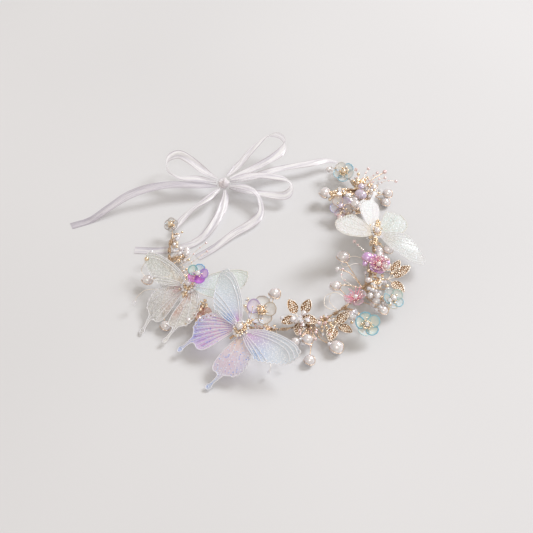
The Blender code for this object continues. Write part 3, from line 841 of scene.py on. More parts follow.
WHITE_FLAKES = [(0.0, "#ffffff"), (0.5, "#f4f6ff"), (0.8, "#dfe9f6"), (0.95, "#ffe6ee")]
BLUE_FLAKES = [(0.0, "#ffffff"), (0.35, "#dfe8ff"), (0.55, "#8fa3ea"), (0.75, "#c79ae0"), (0.95, "#ffd9cc")]
IVORY_FLAKES = [(0.0, "#ffffff"), (0.4, "#f6f6ee"), (0.7, "#cfe0d8"), (0.9, "#e8c9bd")]
ice_film = wing_film("ice_glitter_film", WHITE_FLAKES, 0.6, 0.16)
opal_film = wing_film("opal_glitter_film", BLUE_FLAKES, 0.6, 0.1, 0.0, 1.4)
ivory_film = wing_film("ivory_crackle_film", IVORY_FLAKES, 0.55, 0.28, 0.5, 1.2, 0.4)
white_film = wing_film("white_film", WHITE_FLAKES, 0.4, 0.03, 0.25, 1.2, 0.7)
sheer_film = wing_film("sheer_white_film", WHITE_FLAKES, 0.45, 0.3, 0.3, 1.3, 0.6)
white_paint = vein_paint("white_vein_paint", "#ffffff", "#fbfbff")
ivory_paint = vein_paint("ivory_vein_paint", "#fffefa", "#f6f3ea")
rose_paint = vein_paint("rose_vein_paint", "#e8b6d8", "#b7b6f2")
print("films:", ", ".join(film.name for film in (ice_film, opal_film, ivory_film, white_film, sheer_film)))

# Each wing: its film, ground colour, washes (x, y, size, strength, colour), vein paint, paint for fine veins
# in between or None, ruffle, the numbers of its drawn veins and their radius.
WING_LOOKS = {
    "front_butterfly_forewing_left": (ice_film, "#e4edf9", [
        (44, 18, 14, 0.5, "#f0f6fa"), (4, 2, 8, 1.0, "#ec84d8"), (13, -2, 5, 1.0, "#68a6f4"),
        (20, 2, 8, 0.4, "#c8d6f6"),
    ], white_paint, None, 1.6, (0, 1, 4, 5, 6, 7), 0.38),
    "front_butterfly_forewing_right": (ice_film, "#e2ecfa", [
        (44, 18, 12, 0.5, "#f0f6fa"), (7, 4, 11, 0.9, "#efbef0"), (17, 8, 8, 0.5, "#dccdf6"),
        (25, -4, 7, 0.8, "#a9c6f6"),
    ], white_paint, None, 1.6, (0, 1, 2, 5, 6, 7), 0.42),
    "front_butterfly_hindwing_left": (opal_film, "#f7e6fa", [
        (13, -27, 9, 0.7, "#deb4f4"), (28, -22, 7, 0.7, "#aebcf6"), (22, -31, 6, 0.7, "#9aa8f2"),
        (4, -4, 8, 0.7, "#fbd2d2"), (14, -6, 7, 0.6, "#fdeaf6"), (20, -44, 8, 0.8, "#b6ccf6"),
    ], white_paint, rose_paint, 1.2, range(8), 0.34),
    "front_butterfly_hindwing_right": (opal_film, "#eadcea", [
        (5, -6, 10, 0.8, "#f6d9cc"), (27, -18, 8, 0.5, "#d6d6f2"), (16, -24, 7, 0.5, "#e6c9dc"),
        (20, -44, 10, 0.9, "#c9d9f4"),
    ], white_paint, None, 1.2, (1, 3, 5), 0.16),
    "left_butterfly_forewing_left": (ivory_film, "#f1f3f1", [
        (4, 2, 8, 0.7, "#dcbca6"), (14, -3, 7, 0.8, "#fffdf6"), (44, 20, 12, 0.4, "#e4ece4"),
    ], white_paint, None, 1.4, (0, 1, 5, 6, 7), 0.36),
    "left_butterfly_forewing_right": (ice_film, "#e9f4f1", [
        (6, 3, 9, 0.6, "#d2ecf4"), (40, 18, 12, 0.6, "#eef4ee"),
    ], ivory_paint, None, 1.2, (0, 5), 0.2),
    "left_butterfly_hindwing_left": (ivory_film, "#eeecec", [
        (4, -3, 8, 0.8, "#dca7a2"), (12, -3, 5, 0.7, "#f0b9c4"), (7, -20, 6, 0.6, "#dab5a6"),
    ], white_paint, None, 1.0, (0, 2, 5, 6), 0.32),
    "left_butterfly_hindwing_right": (ivory_film, "#f4f2f0", [
        (4, -8, 6, 0.9, "#dda394"), (7, -22, 6, 0.8, "#e6b0a2"),
    ], white_paint, None, 1.0, (0, 3, 5), 0.3),
    "right_butterfly_forewing_right": (white_film, "#efece8", [
        (5, 2, 8, 0.6, "#efe2c8"),
    ], ivory_paint, None, 1.0, (0, 3, 5), 0.2),
    "right_butterfly_forewing_left": (sheer_film, "#ecebe8", [
        (6, 3, 10, 0.7, "#e9dcc4"),
    ], white_paint, None, 1.0, range(8), 0.28),
    "right_butterfly_hindwing_right": (white_film, "#ffffff", [
        (4, -4, 8, 0.5, "#f2ead8"),
    ], white_paint, None, 2.2, (2, 5), 0.22),
    "right_butterfly_hindwing_left": (sheer_film, "#eef1ec", [
        (5, -5, 8, 0.5, "#e6e0cc"),
    ], ivory_paint, None, 1.0, (0, 2, 4, 6), 0.2),
}

# %% [markdown]
# A wing turns on a hinge beside the body, which the frame gives as a point and an axis. The axis points
# along the body, and the wing's own solid tells which way the wing lies from it, so the whole wing can be
# placed without a single angle written here.

# %% Wings
HINGE_OFFSET = 1.9
WING_STEP_DOWN = 1.1
LOWEST_FILM = 0.8  # no film lies lower than this above the table
TAIL_START = -31
VEIN_LIFT, FINE_VEIN_LIFT, RIM_LIFT = 0.08, 0.12, 0.15
RIM_RADIUS = 0.36
FINE_VEIN_RADIUS = 0.2
BUTTERFLY_SIZE = {"left_butterfly": 1.0, "front_butterfly": 1.0, "right_butterfly": 0.85}
# Wing: its length and its breadth against the drawn shape, and the degrees it is swept.
WING_TRIM = {
    "left_butterfly_forewing_left": (0.94, 0.76, -6), "left_butterfly_hindwing_left": (0.84, 1.0, 0),
    "left_butterfly_forewing_right": (0.86, 0.86, 10), "left_butterfly_hindwing_right": (0.62, 0.97, -12),
    "front_butterfly_forewing_left": (0.95, 0.86, 0), "front_butterfly_hindwing_left": (0.95, 0.95, 0),
    "front_butterfly_forewing_right": (0.97, 0.94, 0), "front_butterfly_hindwing_right": (0.86, 0.97, 2),
    "right_butterfly_forewing_right": (1.03, 0.88, 8), "right_butterfly_hindwing_right": (0.9, 0.95, -12),
    "right_butterfly_forewing_left": (1.0, 1.0, 0), "right_butterfly_hindwing_left": (0.92, 0.95, 0),
}
DROOPING_TAIL = {"right_butterfly_hindwing_left": 1.1}  # drop for each millimetre of tail
joints = {joint["child"]: joint for joint in frame["joints"]}


def wing_frame(butterfly, word):
    """The hinge point and the outward, forward and upward directions of a wing pair."""
    joint = joints[f"{butterfly}_{word}_wings"]
    side = -1 if word == "left" else 1
    hinge = Vector(joint["pos_m"])
    ahead = Vector(joint["axis"]) * -side
    corners = frame["nodes"][f"{butterfly}_forewing_{word}"].data.vertices
    middle = sum((v.co for v in corners), Vector()) / len(corners)
    out = middle - hinge
    out = (out - out.project(ahead)).normalized()
    up = out.cross(ahead) * side
    return hinge, out, ahead, up


def make_wing(butterfly, kind, word):
    """One wing: its film, its veins and its rim, and fine veins in between where it has them."""
    node = f"{butterfly}_{kind}_{word}"
    film, ground, washes, paint, between, ruffle, drawn, vein_radius = WING_LOOKS[node]
    size = BUTTERFLY_SIZE[butterfly]
    long, broad, sweep = WING_TRIM[node]
    hinge, out, ahead, up = wing_frame(butterfly, word)
    root = Vector((2.6, 1 if kind == "forewing" else -1))
    turn = Matrix.Rotation(math.radians(sweep), 2)
    drop = WING_STEP_DOWN if kind == "hindwing" else 0.0
    droop = DROOPING_TAIL.get(node, 0.0)

    def place(spot, lift=0.0):
        x, y = root + turn @ ((spot - root) * Vector((long, broad)))
        z = rise(spot.x, spot.y, ruffle) + lift - drop - droop * max(0.0, TAIL_START - spot.y)
        spot = hinge + (out * (x - HINGE_OFFSET) + ahead * y + up * z) * size * MM
        return Vector((spot.x, spot.y, max(spot.z, LOWEST_FILM * MM)))

    body = f"{butterfly}_{word}_wings"

    def painted(part, lines, lift, radius, colour):
        routes = [[place(p, lift) for p in line] for line in lines]
        wires(f"{node}_{part}", routes, radius, colour, body, sides=1)

    outline, net, faces, lines = SHAPES[kind]
    tints = [wash_colour(ground, washes, p.x, p.y) for p in net]
    mesh_piece(node + "_film", [place(p) for p in net], faces, film, body, [node], tints=tints)
    painted("veins", [lines[k] for k in drawn], VEIN_LIFT, vein_radius * size, paint)
    painted("rim", [outline + outline[:1]], RIM_LIFT, RIM_RADIUS * size, paint)
    if between:
        halfway = [[a.lerp(b, 0.5) for a, b in zip(one, two)] for one, two in zip(lines, lines[1:])]
        painted("fine_veins", halfway, FINE_VEIN_LIFT, FINE_VEIN_RADIUS * size, between)


for butterfly in BUTTERFLY_SIZE:
    for word in ("left", "right"):
        for kind in ("forewing", "hindwing"):
            make_wing(butterfly, kind, word)
    print(butterfly, "has its wings")

# %% [markdown]
# ## Butterfly bodies
# A body is a crowd of beads sewn over the join of the wings: a pearl in the middle, a ring of gold beads
# round it and a ring of cut crystals round that, with a row of gold beads down the body's length and two
# wire feelers. The thread goes through whatever lies under a bead. So the beads near the middle are sewn to
# the body, and those further out are sewn to the wing roots and move when the wings are bent.


# %% Bodies
SEWN_FROM = 2.3  # millimetres from the middle at which a bead is sewn to the wing root
BODY_ROWS = {
    "left_butterfly": [-8.2, -5.8, 6.8, 9.2],
    "front_butterfly": [-5.4, 5.8, 7.6],
    "right_butterfly": [-15, -12.6, -10.2, -7.9, -5.8, 6.8, 9.2, 11.6, 14],
}
GOLD_RING = (10, 3.3, 3.5)  # number of beads, and half of the ring's width and length
CRYSTAL_RING = (13, 5.2, 5.6)
RING_CENTRE = 0.5
GOLD_RING_HEIGHT, CRYSTAL_HEIGHT, ROW_HEIGHT, BESIDE_ROW_HEIGHT = 1.9, 1.5, 1.0, 0.6
LOOSE_GRAINS = 16
FEELER = ((0.5, 8.5, 1), (2.5, 13, 3.4), (6, 17, 4.2))
FEELER_WIRE, FEELER_TIP = 0.18, 0.6
CORE_START, CORE_STEP, CORE_STEPS, CORE_HEIGHT = 11.5, 0.5, 44, -0.3
CORE_TWIST, CORE_WIRE = (2, 0.5, 3), 0.5
STALK_TWIST, STALK_WIRE = (2, 0.4, 3), 0.35


def ring_of(count, wide, long, shift=0.0):
    """Points on an oval round the body's middle."""
    turns = [math.tau * (k + shift) / count for k in range(count)]
    return [(wide * math.sin(a), RING_CENTRE + long * math.cos(a)) for a in turns]


def butterfly_body(butterfly):
    """Sews the beads of a body on, and returns the place of its middle."""
    size = BUTTERFLY_SIZE[butterfly]
    left, _, ahead, up_left = wing_frame(butterfly, "left")
    right, _, _, up_right = wing_frame(butterfly, "right")
    centre = (left + right) / 2
    up = (up_left + up_right).normalized()
    across = ahead.cross(up).normalized()

    def spot(x, y, z):
        return centre + (across * x + ahead * y + up * z) * size * MM

    def sewn(name, kind, rows, material, replaces=()):
        """Beads near the middle stay on the body. The rest are sewn on the wing roots and move with them."""
        sides = {"": [], "left": [], "right": []}
        for x, y, z, radius in rows:
            word = "" if abs(x) < SEWN_FROM else "left" if x < 0 else "right"
            sides[word].append((spot(x, y, z), radius * size, up))
        for word, spots in sides.items():
            body = f"{butterfly}_{word}_wings" if word else "crown"
            stands_for = () if word else replaces
            beads(f"{butterfly}_{name}_{word or 'middle'}", kind, spots, material, body, stands_for)

    pearl = f"{butterfly}_pearl"
    beads(pearl + "_bead", "round", [(middle_of(pearl), radius_of(pearl))], pearl_cream, replaces=[pearl])
    row = BODY_ROWS[butterfly]
    gold = [(dice.uniform(-0.7, 0.7), y, ROW_HEIGHT, dice.uniform(1.1, 1.5)) for y in row]
    for y in row:
        gold += [(side * 1.6, y + 1, BESIDE_ROW_HEIGHT, dice.uniform(0.8, 1.1)) for side in (-1, 1)]
    gold += [(x, y, GOLD_RING_HEIGHT, 1.0) for x, y in ring_of(*GOLD_RING)]
    for _ in range(LOOSE_GRAINS):
        gold.append((dice.gauss(0, 3), dice.gauss(0.5, 3.4), dice.uniform(1.6, 2.6), 0.75))
    sewn("gold_beads", "seed", gold, bead_gold, [f"{butterfly}_body"])
    stones = [(x, y, CRYSTAL_HEIGHT, dice.uniform(1.1, 1.5)) for x, y in ring_of(*CRYSTAL_RING, 0.5)]
    sewn("crystals", "cut", stones, crystal)
    feelers = [smooth_route([spot(side * x, y, z) for x, y, z in FEELER], 0.8 * MM) for side in (-1, 1)]
    wires(f"{butterfly}_feelers", feelers, FEELER_WIRE)
    tips = [(route[-1], FEELER_TIP) for route in feelers]
    beads(f"{butterfly}_feeler_tips", "seed", tips, bead_gold)
    core = [spot(0, CORE_START - CORE_STEP * k, CORE_HEIGHT) for k in range(CORE_STEPS)]
    wires(f"{butterfly}_core", twisted(core, *CORE_TWIST), CORE_WIRE)
    return centre


STALK_FEET = {"left_butterfly": -141.3, "front_butterfly": -103.7, "right_butterfly": 4}
perches = {butterfly: butterfly_body(butterfly) for butterfly in BUTTERFLY_SIZE}
for butterfly, angle in STALK_FEET.items():
    top = perches[butterfly]
    foot = on_hoop(angle, 0, HOOP_HEIGHT + 1)
    route = smooth_route([top - UP * 0.5 * MM, top.lerp(foot, 0.5) - UP * 1.5 * MM, foot], 0.7 * MM)
    wires(f"{butterfly}_stalk", twisted(route, *STALK_TWIST), STALK_WIRE)
print("bodies sewn:", len(perches))

# %% [markdown]
# ## Flowers
# The petals are wire loops that were dipped in liquid resin: a skin as clear as a soap bubble hangs in each
# loop, and the dyed resin gathers on the wire as a coloured rim. So a petal here is a thin cupped skin and
# a round tube along its edge. Both carry their colour at their points, with the alpha channel telling how
# clear they are.


# %% Dipped petals
PETAL_ACROSS = 8
PETAL_ALONG = 12
PETAL_FOOT = 0.8
PETAL_WIDEST = 0.46  # half of a petal's width, against its length
RIM_SIDES = 6
RIM_CLEAR = 0.1


def dipped_resin(name, clear):
    """Tinted resin, a little wavy. Clear scales how much shows through where the tint's alpha is 1."""
    material, coords = new_material(name)
    tint = add(material, "Attribute", attribute_name="tint").outputs
    swirl = noise(material, coords, 2.5, Detail=2.0, Distortion=1.5)
    resin = {
        "Base Color": tint["Color"],
        "Roughness": 0.1,
        "Coat Weight": 0.8,
        "Coat Roughness": 0.04,
        "Thin Film Thickness": 380.0,
        "Normal": dented(material, swirl, 0.9, 0.5),
    }
    lit = lit_through(material, 0.35, add(material, "BsdfPrincipled", resin), tint["Color"])
    see_through = add(material, "Math", {0: tint["Alpha"], 1: clear}, operation="MULTIPLY").outputs[0]
    return finished(material, sheer(material, see_through, lit))


clear_resin = dipped_resin("dipped_clear_resin", 0.52)


def tube(route, radius, over, start):
    """Points and faces of a closed tube along a route, numbered from start."""
    verts, faces = [], []
    count = len(route)
    for k, spot in enumerate(route):
        ahead = (route[(k + 1) % count] - route[k - 1]).normalized()
        side = ahead.cross(over).normalized()
        this, following = start + k * RIM_SIDES, start + (k + 1) % count * RIM_SIDES
        for j in range(RIM_SIDES):
            turn = math.tau * j / RIM_SIDES
            verts.append(spot + (side * math.cos(turn) + over * math.sin(turn)) * radius * MM)
            beside = (j + 1) % RIM_SIDES
            faces.append((this + j, this + beside, following + beside, following + j))
    return verts, faces


def dipped_petals(name, centre, facing, length, cup, colours, rim_radius, replaces=()):
    """A ring of petals. Each petal has a skin colour, how milky it is from 0 to 1, and a rim colour."""
    verts, faces, tints = [], [], []
    count = len(colours)
    half = min(length * PETAL_WIDEST, length * math.sin(math.pi / count) * 0.95)
    over = facing @ UP
    for p, (skin, milky, rim) in enumerate(colours):
        spin = Matrix.Rotation(math.tau * p / count + 0.3, 3, "Z")
        tilt = 0.7 + 0.35 * math.sin(p * 2.4)

        def on_petal(v, u):
            """A point on the petal: v goes from its foot, 0, to its tip, 1, and u from -1 to 1 across it."""
            wide = half * math.sqrt(max(0.0, 1 - (2 * v**1.25 - 1) ** 2))
            x = PETAL_FOOT + (length - PETAL_FOOT) * v
            z = cup * (tilt * v**1.6 + 0.3 * u * u) - 0.2 + 0.5 * (p % 2) - 1.1 * max(0.0, v - 0.75)
            return centre + facing @ (spin @ Vector((x, wide * u, z)) * MM)

        faces += [(a, d, c, b) for a, b, c, d in grid_faces(PETAL_ALONG, PETAL_ACROSS, len(verts))]
        for i in range(PETAL_ALONG + 1):
            v = i / PETAL_ALONG
            for j in range(PETAL_ACROSS + 1):
                u = 2 * j / PETAL_ACROSS - 1
                verts.append(on_petal(v, u))
                edge = min(1.0, max(v**4, abs(u) ** 6) * 0.7)
                tints.append((*mixed(linear(skin), linear(rim), edge)[:3], 1 - max(milky, edge * 0.8)))
        loop = [on_petal(k / 12, 1) for k in range(13)] + [on_petal(1 - k / 12, -1) for k in range(1, 12)]
        rim_verts, rim_faces = tube(loop, rim_radius, over, len(verts))
        verts += rim_verts
        faces += rim_faces
        tints += [(*linear(rim)[:3], RIM_CLEAR)] * len(rim_verts)
    mesh_piece(name + "_petal_ring", verts, faces, clear_resin, "crown", replaces, tints=tints)


# Name: petal length, lean direction, lean, cup, stem's foot, rim radius, and each petal's colours.
FLOWERS = {
    "iridescent_flower": (7.8, -90, 25, 2.6, -150, 0.32, [
        ("#e68cf0", 0.8, "#d880f4"), ("#ecbcf4", 0.6, "#ccacf4"), ("#e0ecf8", 0.5, "#90ccf2"),
        ("#e6f4ee", 0.5, "#a6dad6"), ("#f6aee6", 0.75, "#ea94ee"),
    ]),
    "clear_flower": (11, -80, 30, 3.4, -93, 0.26, [
        ("#ffffff", 0.9, "#dccbb2"), ("#ffffff", 0.8, "#e0d2bc"), ("#ffffff", 0.9, "#d6c8ba"),
        ("#fbf4fd", 0.9, "#d2b8e0"), ("#ffffff", 0.95, "#eee8f2"),
    ]),
    "blue_flower": (9.6, -60, 25, 4.6, -47, 0.38, [
        ("#f6f6e6", 0.8, "#90d6e8"), ("#faf8ea", 0.7, "#b4e2ea"), ("#f8f6e8", 0.75, "#a0dae8"),
        ("#f2f4e2", 0.8, "#8cd2e8"), ("#fbfaf2", 0.85, "#d2eaea"),
    ]),
    "pink_flower": (
        8.5, 150, 20, 4, -41, 0.22, [("#f8ecf2", 0.25, "#f0cfdf")] * 3 + [("#f4f2f4", 0.2, "#e0dce6")] * 3,
    ),
    "purple_flower": (7.2, -90, 25, 3, -20, 0.28, [
        ("#f6cdf4", 0.6, "#eebaf4"), ("#fad2e6", 0.6, "#f8b8d8"), ("#fcd9e6", 0.5, "#f8bcd4"),
        ("#f8cce8", 0.6, "#f4b0da"), ("#f2ccf6", 0.6, "#e6b4f4"),
    ]),
    "green_flower": (8.5, -40, 25, 3, -31, 0.3, [
        ("#eef4f0", 0.3, "#a8dcea"), ("#f0f2ec", 0.3, "#cfe6dc"), ("#f0f2f0", 0.2, "#d6e6e6"),
        ("#eef6f4", 0.3, "#b4e0ea"), ("#f4f4ee", 0.3, "#dcdccc"),
    ]),
    "aqua_flower": (8.8, -120, 25, 3, 50, 0.32, [
        ("#fbfbf8", 0.7, "#b4e2f0"), ("#fbfaf6", 0.65, "#e2eeee"), ("#f2f9fa", 0.7, "#a2dcf0"),
        ("#fbf9f6", 0.7, "#f2f0ec"), ("#fafaf6", 0.7, "#cceaf2"),
    ]),
    "glass_flower": (9, -120, 25, 3, 29, 0.3, [
        ("#f8f2f4", 0.4, "#e2c8d6"), ("#faf6f4", 0.35, "#e8d6c8"), ("#f6eef6", 0.5, "#d8c6e8"),
        ("#faf4f0", 0.35, "#ecd6c6"), ("#f6f4fa", 0.6, "#d6d2ec"),
    ]),
    "crystal_flower": (5.5, -110, 25, 2, -190, 0.3, [("#f8f8f8", 0.35, "#d8d2cc")] * 6),
}


CENTRE_DEPTH = 3.05  # how far the petals' foot lies under the middle of the centre bead


def facing_of(lean_to, lean):
    """The turn of a flower that leans by some degrees towards a direction."""
    return Matrix.Rotation(math.radians(lean_to), 3, "Z") @ Matrix.Rotation(math.radians(lean), 3, "Y")


def flower_frame(name):
    """The flower's middle and the way it faces, from its centre bead and its lean."""
    facing = facing_of(*FLOWERS[name][1:3])
    normal = facing @ UP
    return middle_of(name + "_centre") - normal * CENTRE_DEPTH * MM, normal, facing


for name, (length, _, _, cup, _, rim_radius, colours) in FLOWERS.items():
    centre, _, facing = flower_frame(name)
    slot = next(s["material_slot"] for s in frame["record"]["subparts"] if s["node"] == name + "_petals")
    dipped_petals(name, centre, facing, length, cup, colours, rim_radius, [name + "_petals"])
CORAL = [
    ("#fad2c6", 0.7, "#f4b8a6"), ("#fbdccf", 0.6, "#f2c2b0"), ("#f8cabc", 0.7, "#f0b09c"),
    ("#fae0d4", 0.6, "#f2ccba"),
]
dipped_petals("coral_blossom", at(-51, -70, 10), facing_of(-60, 30), 6.5, 3, CORAL, 0.25)
print("flowers:", len(FLOWERS))

# %% [markdown]
# Each flower is held by its own thin wire, wound round the hoop, and its middle is a pearl with gold
# stamens round it. The stamens are short wires with a grain of gold on each tip.


# %% Flower middles and stems
def stamens(name, centre, facing, count, reaches, radius, material, tip_material, tip_radius):
    """Short wires that spread upwards from a flower's middle, with a grain on each tip."""
    routes, grains = [], []
    for k in range(count):
        turn = math.tau * (k + 0.5 * dice.random()) / count
        reach = dice.uniform(*reaches)
        tip = Vector((reach * math.cos(turn), reach * math.sin(turn), dice.uniform(0.5, 1.0) * reach))
        bend = centre + facing @ (tip * Vector((0.55, 0.55, 0.7)) * MM)
        routes.append(smooth_route([centre, bend, centre + facing @ (tip * MM)], 1.2 * MM))
        grains.append((routes[-1][-1], tip_radius * dice.uniform(0.8, 1.2)))
    wires(name + "_stamens", routes, radius, material, sides=1)
    beads(name + "_stamen_tips", "seed", grains, tip_material)


def dyed_thread(name, colour, shade):
    """Waxed thread whose dye varies every 2 mm."""
    material, coords = new_material(name)
    uneven = tone(material, noise(material, coords, 2), (0.4, shade), (0.6, colour))
    wax = {"Base Color": uneven, "Roughness": 0.4, "Sheen Weight": 0.3}
    return finished(material, add(material, "BsdfPrincipled", wax))


pink_thread = dyed_thread("pink_waxed_thread", "#fbb6c6", "#f08aa6")
SHORTEST_STAMEN, STAMEN_WIRE, STAMEN_TIP = 2.2, 0.18, 0.7
BURST_THREAD = 0.2
FLOWER_STEM_TWIST, FLOWER_STEM_WIRE = (2, 0.28, 2.6), 0.26
# Name: number of stamens, their longest reach and the middle bead's finish.
MIDDLES = {
    "iridescent_flower": (5, 3.5, pearl_cream), "clear_flower": (26, 4.6, bead_gold),
    "blue_flower": (26, 4.8, crystal), "pink_flower": (5, 3.5, pearl_cream),
    "purple_flower": (7, 3.5, pearl_pink), "green_flower": (8, 4.0, pearl_cream),
    "aqua_flower": (16, 4.4, bead_gold), "glass_flower": (6, 3.5, pearl_mauve),
    "crystal_flower": (8, 3.5, bead_gold),
}
stems = []
for name, (count, longest, bead) in MIDDLES.items():
    centre, normal, facing = flower_frame(name)
    middle = name + "_centre"
    kind = "cut" if bead is crystal else "round"
    spot = (middle_of(middle), radius_of(middle) * 0.9, normal)
    beads(name + "_bead", kind, [spot], bead, replaces=[middle])
    reaches = (SHORTEST_STAMEN, longest)
    stamens(name, centre, facing, count, reaches, STAMEN_WIRE, wire_gold, bead_gold, STAMEN_TIP)
    foot = on_hoop(FLOWERS[name][4])
    bend = centre - normal * (centre - foot).length / 3
    route = smooth_route([centre - normal * 0.6 * MM, bend, foot], 0.7 * MM)
    stems += twisted(route, *FLOWER_STEM_TWIST)
wires("flower_stems", stems, FLOWER_STEM_WIRE)
# Two flowers also carry a burst of pink thread: its number, reaches and grain radius.
BURSTS = {"pink": (34, (4.5, 8.5), 0.45), "purple": (18, (4.0, 6.5), 0.7)}
for colour, (count, reaches, tip_radius) in BURSTS.items():
    centre, _, facing = flower_frame(colour + "_flower")
    burst = colour + "_burst"
    stamens(burst, centre, facing, count, reaches, BURST_THREAD, pink_thread, pearl_pink, tip_radius)
print("stem strands:", len(stems))

# %% [markdown]
# ## Pearls on their stems
# The larger pearls stand clear of the rest on twisted wires, and the wire ends in a small gold cup on the
# bead.

# %% Pearls and sprays
PEARLS = (
    "pearl_left", "pearl_lower_left", "pearl_front_large", "pearl_front_small", "pearl_inner_left",
    "pearl_inner_right", "pearl_back",
)
for name in PEARLS:
    beads(name + "_bead", "round", [(middle_of(name), radius_of(name))], pearl_cream, replaces=[name])

# Name: foot on the hoop, then each branch's points and the radius and finish of the bead on its end.
SPRAYS = {
    "spray_left_wire": (-160, [
        ([(-84, -30, 8), "pearl_left"], 0, None), ([(-82, -52, 5), "pearl_lower_left"], 0, None),
        ([(-77, -22, 10), (-70, -12, 11), (-66, -4, 10)], 2.6, pearl_cream),
        ([(-86, -14, 9), (-93, -8, 12)], 1.8, crystal),
    ]),
    "spray_front_wire": (-67, [
        ([(35, -88, 6), "pearl_front_large"], 0, None), ([(29, -92, 7), "pearl_front_small"], 0, None),
        ([(25, -85, 8), (17, -93, 8)], 3.2, pearl_cream),
    ]),
    "spray_inner_wire": (-30, [
        ([(62, -26, 9), "pearl_inner_right"], 0, None), ([(57, -40, 10), (47, -43, 12)], 3.8, pearl_cream),
        ([(60, -32, 14), (50, -30, 17)], 1.8, pearl_cream),
    ]),
    "spray_top_wire": (38, [
        ([(82, 62, 5), "pearl_back"], 0, None),
        ([(74, 64, 10), (62, 62, 11), (44, 60, 11)], 3.8, pearl_cream),
        ([(80, 68, 14), (93, 78, 16)], 1.8, pearl_pink), ([(78, 56, 12), (73, 50, 17)], 3.6, pearl_mauve),
    ]),
}
STEM_STEP = 0.8
STEM_TURN = 2.4
SPRAY_SPREAD, SPRAY_WIRE = 0.25, 0.24
THIN_SPREAD, THIN_WIRE = 0.22, 0.22


def stem(points, spread):
    """The two twisted wires of a stem through some points."""
    return twisted(smooth_route(points, STEM_STEP * MM), 2, spread, STEM_TURN)


for name, (angle, branches) in SPRAYS.items():
    strands = []
    for k, (spots, radius, finish) in enumerate(branches):
        places = [middle_of(spot) if isinstance(spot, str) else at(*spot) for spot in spots]
        strands += stem([on_hoop(angle), *places], SPRAY_SPREAD)
        if radius:
            beads(f"{name}_bead_{k}", "round", [(places[-1], radius)], finish)
    wires(name + "_strands", strands, SPRAY_WIRE, replaces=[name])
inner_stem = stem([on_hoop(-93), at(-6, -63, 11), middle_of("pearl_inner_left")], THIN_SPREAD)
wires("pearl_inner_left_stem", inner_stem, THIN_WIRE)
print("sprays:", len(SPRAYS))

# %% [markdown]
# ## Leaf sprigs
# A leaf is a cupped plate of brass with round gold grains soldered all over it in rows and a wire round its
# rim. The plate is dark as painted shade: the real leaf is open lace, and its plate stands for the shadow
# seen in the lace's holes between the grains. The grains could be a bump on the plate, but then the leaf's
# edge and its shadow would stay smooth, so each grain is a small ball.


# %% Leaf sprigs
LEAF_SPRIGS = {
    "leaf_sprig_front": (-75, (20, -72, 9), [
        ((17.5, -69, 11), (12.5, -60, 17), 0.78), ((23.5, -69, 11), (28, -60, 17), 0.78),
        ((18, -73, 10), (7, -77, 10), 0.85), ((22, -73, 10), (34, -75, 9), 0.85),
        ((20, -76, 9), (19, -86, 6), 0.75),
    ]),
    "leaf_sprig_side": (-60, (47, -77, 8), [
        ((48, -77, 9), (57, -69, 14), 0.72), ((46, -80, 8), (42, -92, 7), 0.75),
        ((49, -79, 9), (59, -85, 9), 0.75),
    ]),
    "leaf_sprig_right": (-24, (88, -35, 11), [
        ((93, -33, 11), (106, -24, 14), 0.6), ((91, -38, 11), (100, -47, 10), 0.75),
        ((92, -30, 12), (98, -19, 15), 0.6),
    ]),
}
GRAIN_PITCH = 1.8
GRAIN_RADIUS = 0.8
ROW_PITCH = GRAIN_PITCH * 0.87
LEAF_CUP = 1.4
LEAF_SLIM = 0.86
EDGE_STEPS = 14
GRAIN_LIFT, RIM_WIRE_LIFT = 0.35, 0.1
PLATE_THICKNESS = 0.3
LEAF_RIM_WIRE, TWIG_WIRE = 0.22, 0.4
TWIG_TWIST = (2, 0.3, 2.5)


def leaf(base, tip, slim):
    """The plate, dark as the painted shade of the lace's holes, the gold grains soldered on it and the rim wire of
    one leaf.
    """
    along = tip - base
    length = along.length / MM
    along.normalize()
    across = along.cross(UP).normalized()
    over = across.cross(along)
    widest = slim * length / 2

    def half(v):
        return LEAF_SLIM * widest * math.sin(math.pi * min(1.0, max(0.0, v)) ** 0.8) ** 0.65

    def place(x, y, lift):
        cupped = LEAF_CUP * (x / widest) ** 2
        return base + (across * x + along * y + over * (cupped + lift)) * MM

    grains = []
    for i in range(int(length / ROW_PITCH) + 1):
        y = (i + 0.4) * ROW_PITCH
        for j in range(-4, 5):
            x = (j + 0.5 * (i % 2)) * GRAIN_PITCH + dice.uniform(-0.15, 0.15)
            if abs(x) < half(y / length) - 0.35 and y < length - 0.4:
                grains.append((place(x, y, GRAIN_LIFT), GRAIN_RADIUS * dice.uniform(0.8, 1.12), over))
    edge = [(half(k / EDGE_STEPS), k / EDGE_STEPS * length) for k in range(EDGE_STEPS + 1)]
    rim = [place(x, y, RIM_WIRE_LIFT) for x, y in edge + [(-x, y) for x, y in edge[-2::-1]]]
    plate = [place(x * 0.97 * s, y, 0.0) for x, y in edge for s in (-1, -0.5, 0, 0.5, 1)]
    return plate, grains, rim


